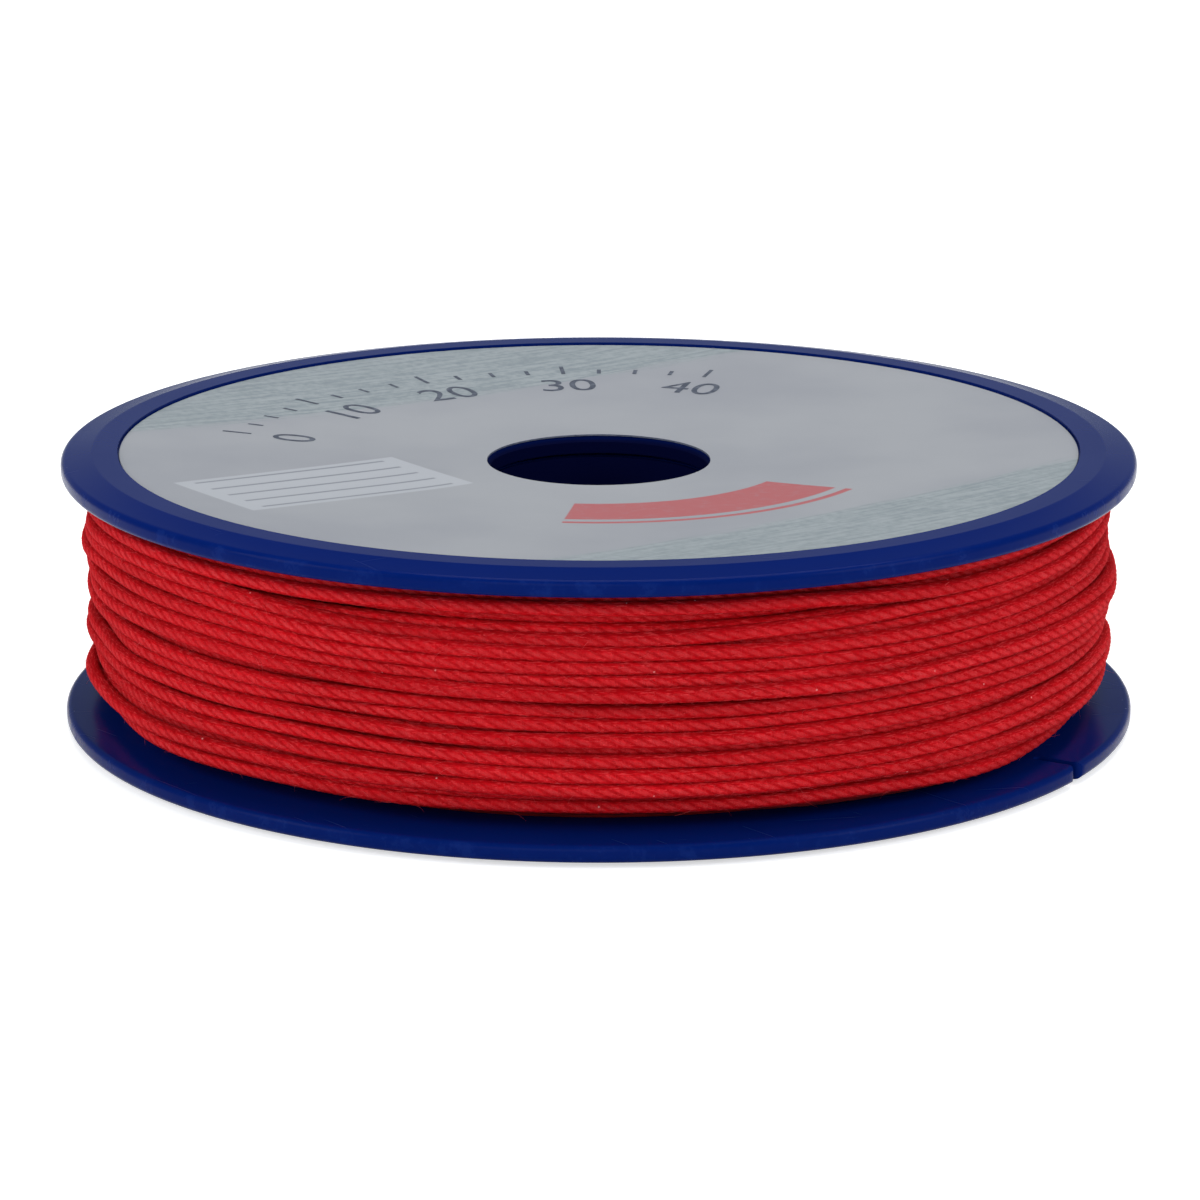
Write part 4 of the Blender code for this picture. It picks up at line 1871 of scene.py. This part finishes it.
@dataclass
class WoundTwine:
    """The last two layers as real twisted twine, and the inner layers that show below them."""

    sizes: ReelSizes
    machine: WindingMachine
    finish: TwistedTwine
    deep_finish: DeepTwine
    lay: float = 0.0060
    strands: int = 5
    strand_offset: float = 0.27
    section_points: int = 20
    ring_spacing: float = 0.00045
    tuck_length: float = math.radians(26)
    tuck_depth: float = 0.0011
    core_sink: float = 0.00035
    core_gap: float = 0.00002
    core_columns: int = 360
    core_row_step: int = 3
    strip_margin: float = 0.04
    strip_start: float = 0.002
    strip_length: float = 0.994

    def tucked(self, route: TwineRoute) -> TwineRoute:
        """The route with both its ends sunk into the layer below.

        Args:
            route: The route.

        Returns:
            The new route.
        """
        from_start = eased((route.angles - route.angles[0]) / self.tuck_length)
        from_end = eased((route.angles[-1] - route.angles) / self.tuck_length)
        sink = self.tuck_depth * (2.0 - from_start - from_end)
        return TwineRoute(route.angles, route.heights, route.radii - sink)

    def section(self) -> tuple[np.ndarray, np.ndarray, np.ndarray]:
        """The twine's section: round strands with grooves between them.

        Returns:
            The angle, the radius and the share of a crest at each of its points.
        """
        around = math.tau * np.arange(self.section_points) / self.section_points
        share = math.tau / self.strands
        from_strand = (around + share / 2) % share - share / 2
        offset, strand = self.strand_offset, 1.0 - self.strand_offset
        reach = offset * np.cos(from_strand) + np.sqrt(strand**2 - (offset * np.sin(from_strand)) ** 2)
        crest = (reach - reach.min()) / (reach.max() - reach.min())
        return around, self.machine.twine_radius * reach, crest

    def build_outer(self, route: TwineRoute) -> bpy.types.Object:
        """The twine of the last two layers.

        Args:
            route: Its centre line.

        Returns:
            The object.
        """
        line = self.tucked(route).even(self.ring_spacing)
        centre = line.points()
        tangent = np.gradient(centre, axis=0)
        tangent /= np.linalg.norm(tangent, axis=1, keepdims=True)
        outward = np.stack([np.cos(line.angles), np.sin(line.angles), np.zeros(len(centre))], axis=1)
        outward -= tangent * np.sum(outward * tangent, axis=1, keepdims=True)
        outward /= np.linalg.norm(outward, axis=1, keepdims=True)
        sideways = np.cross(tangent, outward)
        around, radius, crest = self.section()
        run = self.ring_spacing * np.arange(len(centre))
        turn = around[None, :] + math.tau * run[:, None] / self.lay
        reach = np.broadcast_to(radius[None, :], turn.shape)
        points = (
            centre[:, None, :]
            + (reach * np.cos(turn))[..., None] * outward[:, None, :]
            + (reach * np.sin(turn))[..., None] * sideways[:, None, :]
        )
        rings, count = len(centre), self.section_points
        obj = MeshMaker.from_arrays("wound_twine", points.reshape(-1, 3), MeshMaker.grid(rings, count))
        mesh = obj.data
        self.store(mesh, "strand_crest", "FLOAT", np.tile(crest, rings))
        self.store(mesh, "outside", "FLOAT", np.cos(turn))
        circle = turn.ravel() / math.tau % 1.0
        along_twine = np.stack([np.repeat(run, count), circle, np.tile(around, rings)], axis=1)
        self.store(mesh, "twine_run", "FLOAT_VECTOR", along_twine)
        self.add_bake_map(mesh, line, rings, count)
        mesh.materials.append(self.finish.material())
        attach(obj, "root")
        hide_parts(Node.LAYER.value)
        log.info("wound_twine: %.2f m of twine", run[-1])
        return obj

    @staticmethod
    def store(mesh: bpy.types.Mesh, name: str, kind: str, values: np.ndarray) -> None:
        """Stores a value for each point of a mesh, of the kind FLOAT or FLOAT_VECTOR."""
        stored = mesh.attributes.new(name, kind, "POINT")
        stored.data.foreach_set("value" if kind == "FLOAT" else "vector", values.astype(np.float32).ravel())

    def add_bake_map(self, mesh: bpy.types.Mesh, line: TwineRoute, rings: int, count: int) -> None:
        """Lays each turn of the twine on a strip of its own in the map that textures are baked to.

        Args:
            mesh: The twine's mesh.
            line: Its centre line.
            rings: How many rings of points it has.
            count: How many points a ring has.
        """
        turns = (line.angles - line.angles[0]) / math.tau
        strip = np.floor(turns[:-1]).astype(int)
        strips = strip.max() + 1
        left = turns[:-1] - strip
        right = turns[1:] - strip
        along = np.stack([left, left, right, right], axis=-1)[:, None, :].repeat(count, axis=1)
        low = np.arange(count) / count
        high = (np.arange(count) + 1) / count
        across = np.stack([low, high, high, low], axis=-1)[None, :, :].repeat(rings - 1, axis=0)
        width = 1.0 - 2.0 * self.strip_margin
        across = (strip[:, None, None] + self.strip_margin + width * across) / strips
        values = np.stack([self.strip_start + self.strip_length * along, across], axis=-1)
        layer = mesh.uv_layers.new(name="OFBake")
        layer.uv.foreach_set("vector", values.astype(np.float32).ravel())

    def build_core(self, under: np.ndarray) -> bpy.types.Object:
        """The inner layers as one ring, whose face is the surface that the last layers lie on.

        Args:
            under: That surface, as radius by angle and height.

        Returns:
            The object.
        """
        s = self.sizes
        skip = self.machine.columns // self.core_columns
        face = under[::skip, :: self.core_row_step] - self.core_sink
        levels = self.machine.rows[:: self.core_row_step]
        angles = self.machine.azimuths[::skip]
        inside = np.full((len(angles), 1), s.drum_radius + s.fit_gap)
        radius = np.hstack([inside, face, inside])
        floor = s.lower_inside + self.core_gap
        ceiling = s.upper_inside - self.core_gap - np.vectorize(s.dip)(radius)
        level = np.concatenate([[floor], levels, [s.upper_inside]])
        height = np.clip(np.broadcast_to(level[None, :], radius.shape), floor, ceiling)
        cos, sin = np.cos(angles)[:, None], np.sin(angles)[:, None]
        points = np.stack([radius * cos, radius * sin, height], axis=-1)
        faces = MeshMaker.grid(*radius.shape, closed=True)[:, [0, 3, 2, 1]]
        obj = MeshMaker.from_arrays("inner_twine", points.reshape(-1, 3), faces)
        obj.data.materials.append(self.deep_finish.material())
        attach(obj, "root")
        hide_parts(Node.PACK.value)
        return obj


@dataclass
class LooseFibres:
    """Short fibre ends that stand off the outer turns."""

    sizes: ReelSizes
    finish: FibreEnds
    twine_radius: float
    count: int = 2200
    shortest: float = 0.0004
    longest: float = 0.0013
    thickness: float = 0.000011
    taper: float = 0.7
    root: float = 0.93
    lift: Point = (0.05, 0.45)
    tilt_spread: float = 0.75
    heading_spread: float = 0.5
    curl_spread: float = 0.35
    flange_gap: float = 0.0001
    bare_end: int = 40
    steps: int = 4
    sides: int = 3
    seed: int = 5

    def build(self, route: TwineRoute) -> bpy.types.Object:
        """The fibres as one object.

        Args:
            route: The centre line of the twine that they grow from.

        Returns:
            The object.
        """
        random = np.random.default_rng(self.seed)
        first = len(route.angles) // 2
        picked = np.sort(random.integers(first, len(route.angles) - self.bare_end, self.count))
        angle = route.angles[picked]
        out = np.stack([np.cos(angle), np.sin(angle), np.zeros(self.count)], axis=1)
        forward = np.stack([-np.sin(angle), np.cos(angle), np.zeros(self.count)], axis=1)
        up = np.array([0.0, 0.0, 1.0])
        centre = route.points()[picked]
        tilt = random.normal(0.0, self.tilt_spread, self.count)
        away = out * np.cos(tilt)[:, None] + up[None, :] * np.sin(tilt)[:, None]
        veer = random.normal(0.0, self.heading_spread, (self.count, 1))
        heading = veer * np.cross(away, forward) + forward * random.choice([-1, 1], (self.count, 1))
        heading /= np.linalg.norm(heading, axis=1, keepdims=True)
        length = random.uniform(self.shortest, self.longest, self.count)
        rise = (length * random.uniform(*self.lift, self.count))[:, None]
        curl = random.normal(0.0, self.curl_spread, (self.count, 1)) * np.cross(away, heading)
        share = np.linspace(0.0, 1.0, self.steps + 1)
        spine = (
            centre[:, None, :]
            + away[:, None, :] * (self.twine_radius * self.root + rise * share[None, :] ** 1.5)[..., None]
            + heading[:, None, :] * (length[:, None] * share[None, :])[..., None]
            + curl[:, None, :] * (length[:, None] * share[None, :] ** 2)[..., None]
        )
        corner = math.tau * np.arange(self.sides) / self.sides
        side = np.cross(away, heading)
        thin = self.thickness * (1.0 - self.taper * share)
        offset = (
            np.cos(corner)[None, None, :, None] * away[:, None, None, :]
            + np.sin(corner)[None, None, :, None] * side[:, None, None, :]
        )
        points = spine[:, :, None, :] + thin[None, :, None, None] * offset
        low, high = self.sizes.lower_inside + self.flange_gap, self.sizes.upper_inside - self.flange_gap
        points[..., 2] = np.clip(points[..., 2], low, high)
        starts = np.arange(self.count) * (self.steps + 1) * self.sides
        faces = starts[:, None, None] + MeshMaker.grid(self.steps + 1, self.sides)[None, :, :]
        obj = MeshMaker.from_arrays("loose_fibres", points.reshape(-1, 3), faces.reshape(-1, 4))
        obj.data.materials.append(self.finish.material())
        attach(obj, "root")
        return obj


# Studio


@dataclass
class SoftLamp:
    """One rectangular lamp that points at the reel."""

    name: str
    place: Triple
    size: float
    power: float

    def build(self) -> None:
        """Hangs the lamp."""
        data = bpy.data.lights.new(self.name, "AREA")
        data.shape = "SQUARE"
        data.size = self.size
        data.energy = self.power
        lamp = bpy.data.objects.new(self.name, data)
        bpy.context.scene.collection.objects.link(lamp)
        lamp.location = self.place
        direction = -lamp.location
        lamp.rotation_euler = direction.to_track_quat("-Z", "Y").to_euler()


@dataclass
class Studio:
    """Floor, world, lamps and camera."""

    floor_finish: PaleFloor
    floor_size: float = 6.0
    camera_place: Triple = (0.00009, -0.3745, 0.10688)
    camera_pitch: float = math.radians(75.253)
    focal_length: float = 158.44
    sensor: float = 36.0
    nearest: float = 0.01
    world_color: Color = (0.88, 0.98, 1.0)
    world_heights: Point = (0.15, 0.50)
    world_low: float = 0.47
    world_high: float = 0.17
    lamps: tuple[SoftLamp, ...] = (
        SoftLamp("front_softbox", (-0.20, -1.05, 0.55), 0.7, 4.0),
        SoftLamp("top_softbox", (0.10, 0.25, 1.1), 0.9, 7.7),
        SoftLamp("right_softbox", (0.90, -0.40, 0.60), 0.6, 4.6),
        SoftLamp("left_softbox", (-0.95, -0.35, 0.55), 0.6, 4.3),
    )

    def build_floor(self) -> None:
        """Lays the floor under the reel."""
        half = self.floor_size / 2
        corners = np.array([(-half, -half, 0.0), (half, -half, 0.0), (half, half, 0.0), (-half, half, 0.0)])
        floor = MeshMaker.from_arrays("floor", corners, np.array([(0, 1, 2, 3)]))
        floor.data.materials.append(self.floor_finish.material())

    def build_world(self) -> None:
        """A soft, cool surround, brighter near the horizon than overhead."""
        world = bpy.data.worlds.new("soft_surround")
        world.use_nodes = True
        nodes, links = world.node_tree.nodes, world.node_tree.links
        background = nodes["Background"]
        height = nodes.new("ShaderNodeSeparateXYZ")
        links.new(nodes.new("ShaderNodeTexCoord").outputs["Generated"], height.inputs[0])
        spread = nodes.new("ShaderNodeMapRange")
        spread.interpolation_type = "SMOOTHSTEP"
        spread.inputs["From Min"].default_value, spread.inputs["From Max"].default_value = self.world_heights
        spread.inputs["To Min"].default_value = self.world_low
        spread.inputs["To Max"].default_value = self.world_high
        links.new(height.outputs["Z"], spread.inputs["Value"])
        links.new(spread.outputs["Result"], background.inputs["Strength"])
        background.inputs["Color"].default_value = (*self.world_color, 1.0)
        bpy.context.scene.world = world

    def build_camera(self) -> None:
        """The camera at the photograph's angle."""
        data = bpy.data.cameras.new("camera")
        data.lens = self.focal_length
        data.sensor_width = self.sensor
        data.clip_start = self.nearest
        camera = bpy.data.objects.new("camera", data)
        bpy.context.scene.collection.objects.link(camera)
        camera.location = self.camera_place
        camera.rotation_euler = (self.camera_pitch, 0.0, 0.0)
        bpy.context.scene.camera = camera

    def build(self) -> None:
        """Sets up the whole studio."""
        bpy.context.scene.view_settings.view_transform = "Standard"
        self.build_floor()
        self.build_world()
        self.build_camera()
        for lamp in self.lamps:
            lamp.build()


def report(piece: bpy.types.Object) -> None:
    """Logs a finished piece and how many faces it has."""
    log.info("%s: %d faces", piece.name, len(piece.data.polygons))


def main() -> None:
    """Builds the reel piece by piece and sets up the studio."""
    logging.basicConfig(level=logging.INFO, format="%(name)s: %(message)s")
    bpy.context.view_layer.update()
    sizes = ReelSizes()
    Studio(PaleFloor()).build()
    plastic = MouldedPlastic(sizes.bore_radius, sizes.rim_radius)
    report(ReelBody(sizes, plastic).build())
    report(ReelCap(sizes, plastic).build())
    for piece in LabelCard(sizes, CoatedCard(), CardEdge(), PrintInk()).build():
        report(piece)
    machine = WindingMachine(sizes)
    route, under = machine.wind()
    twine = WoundTwine(sizes, machine, TwistedTwine(), DeepTwine())
    report(twine.build_outer(route))
    report(twine.build_core(under))
    report(LooseFibres(sizes, FibreEnds(), machine.twine_radius).build(route))


if __name__ == "__main__":
    main()
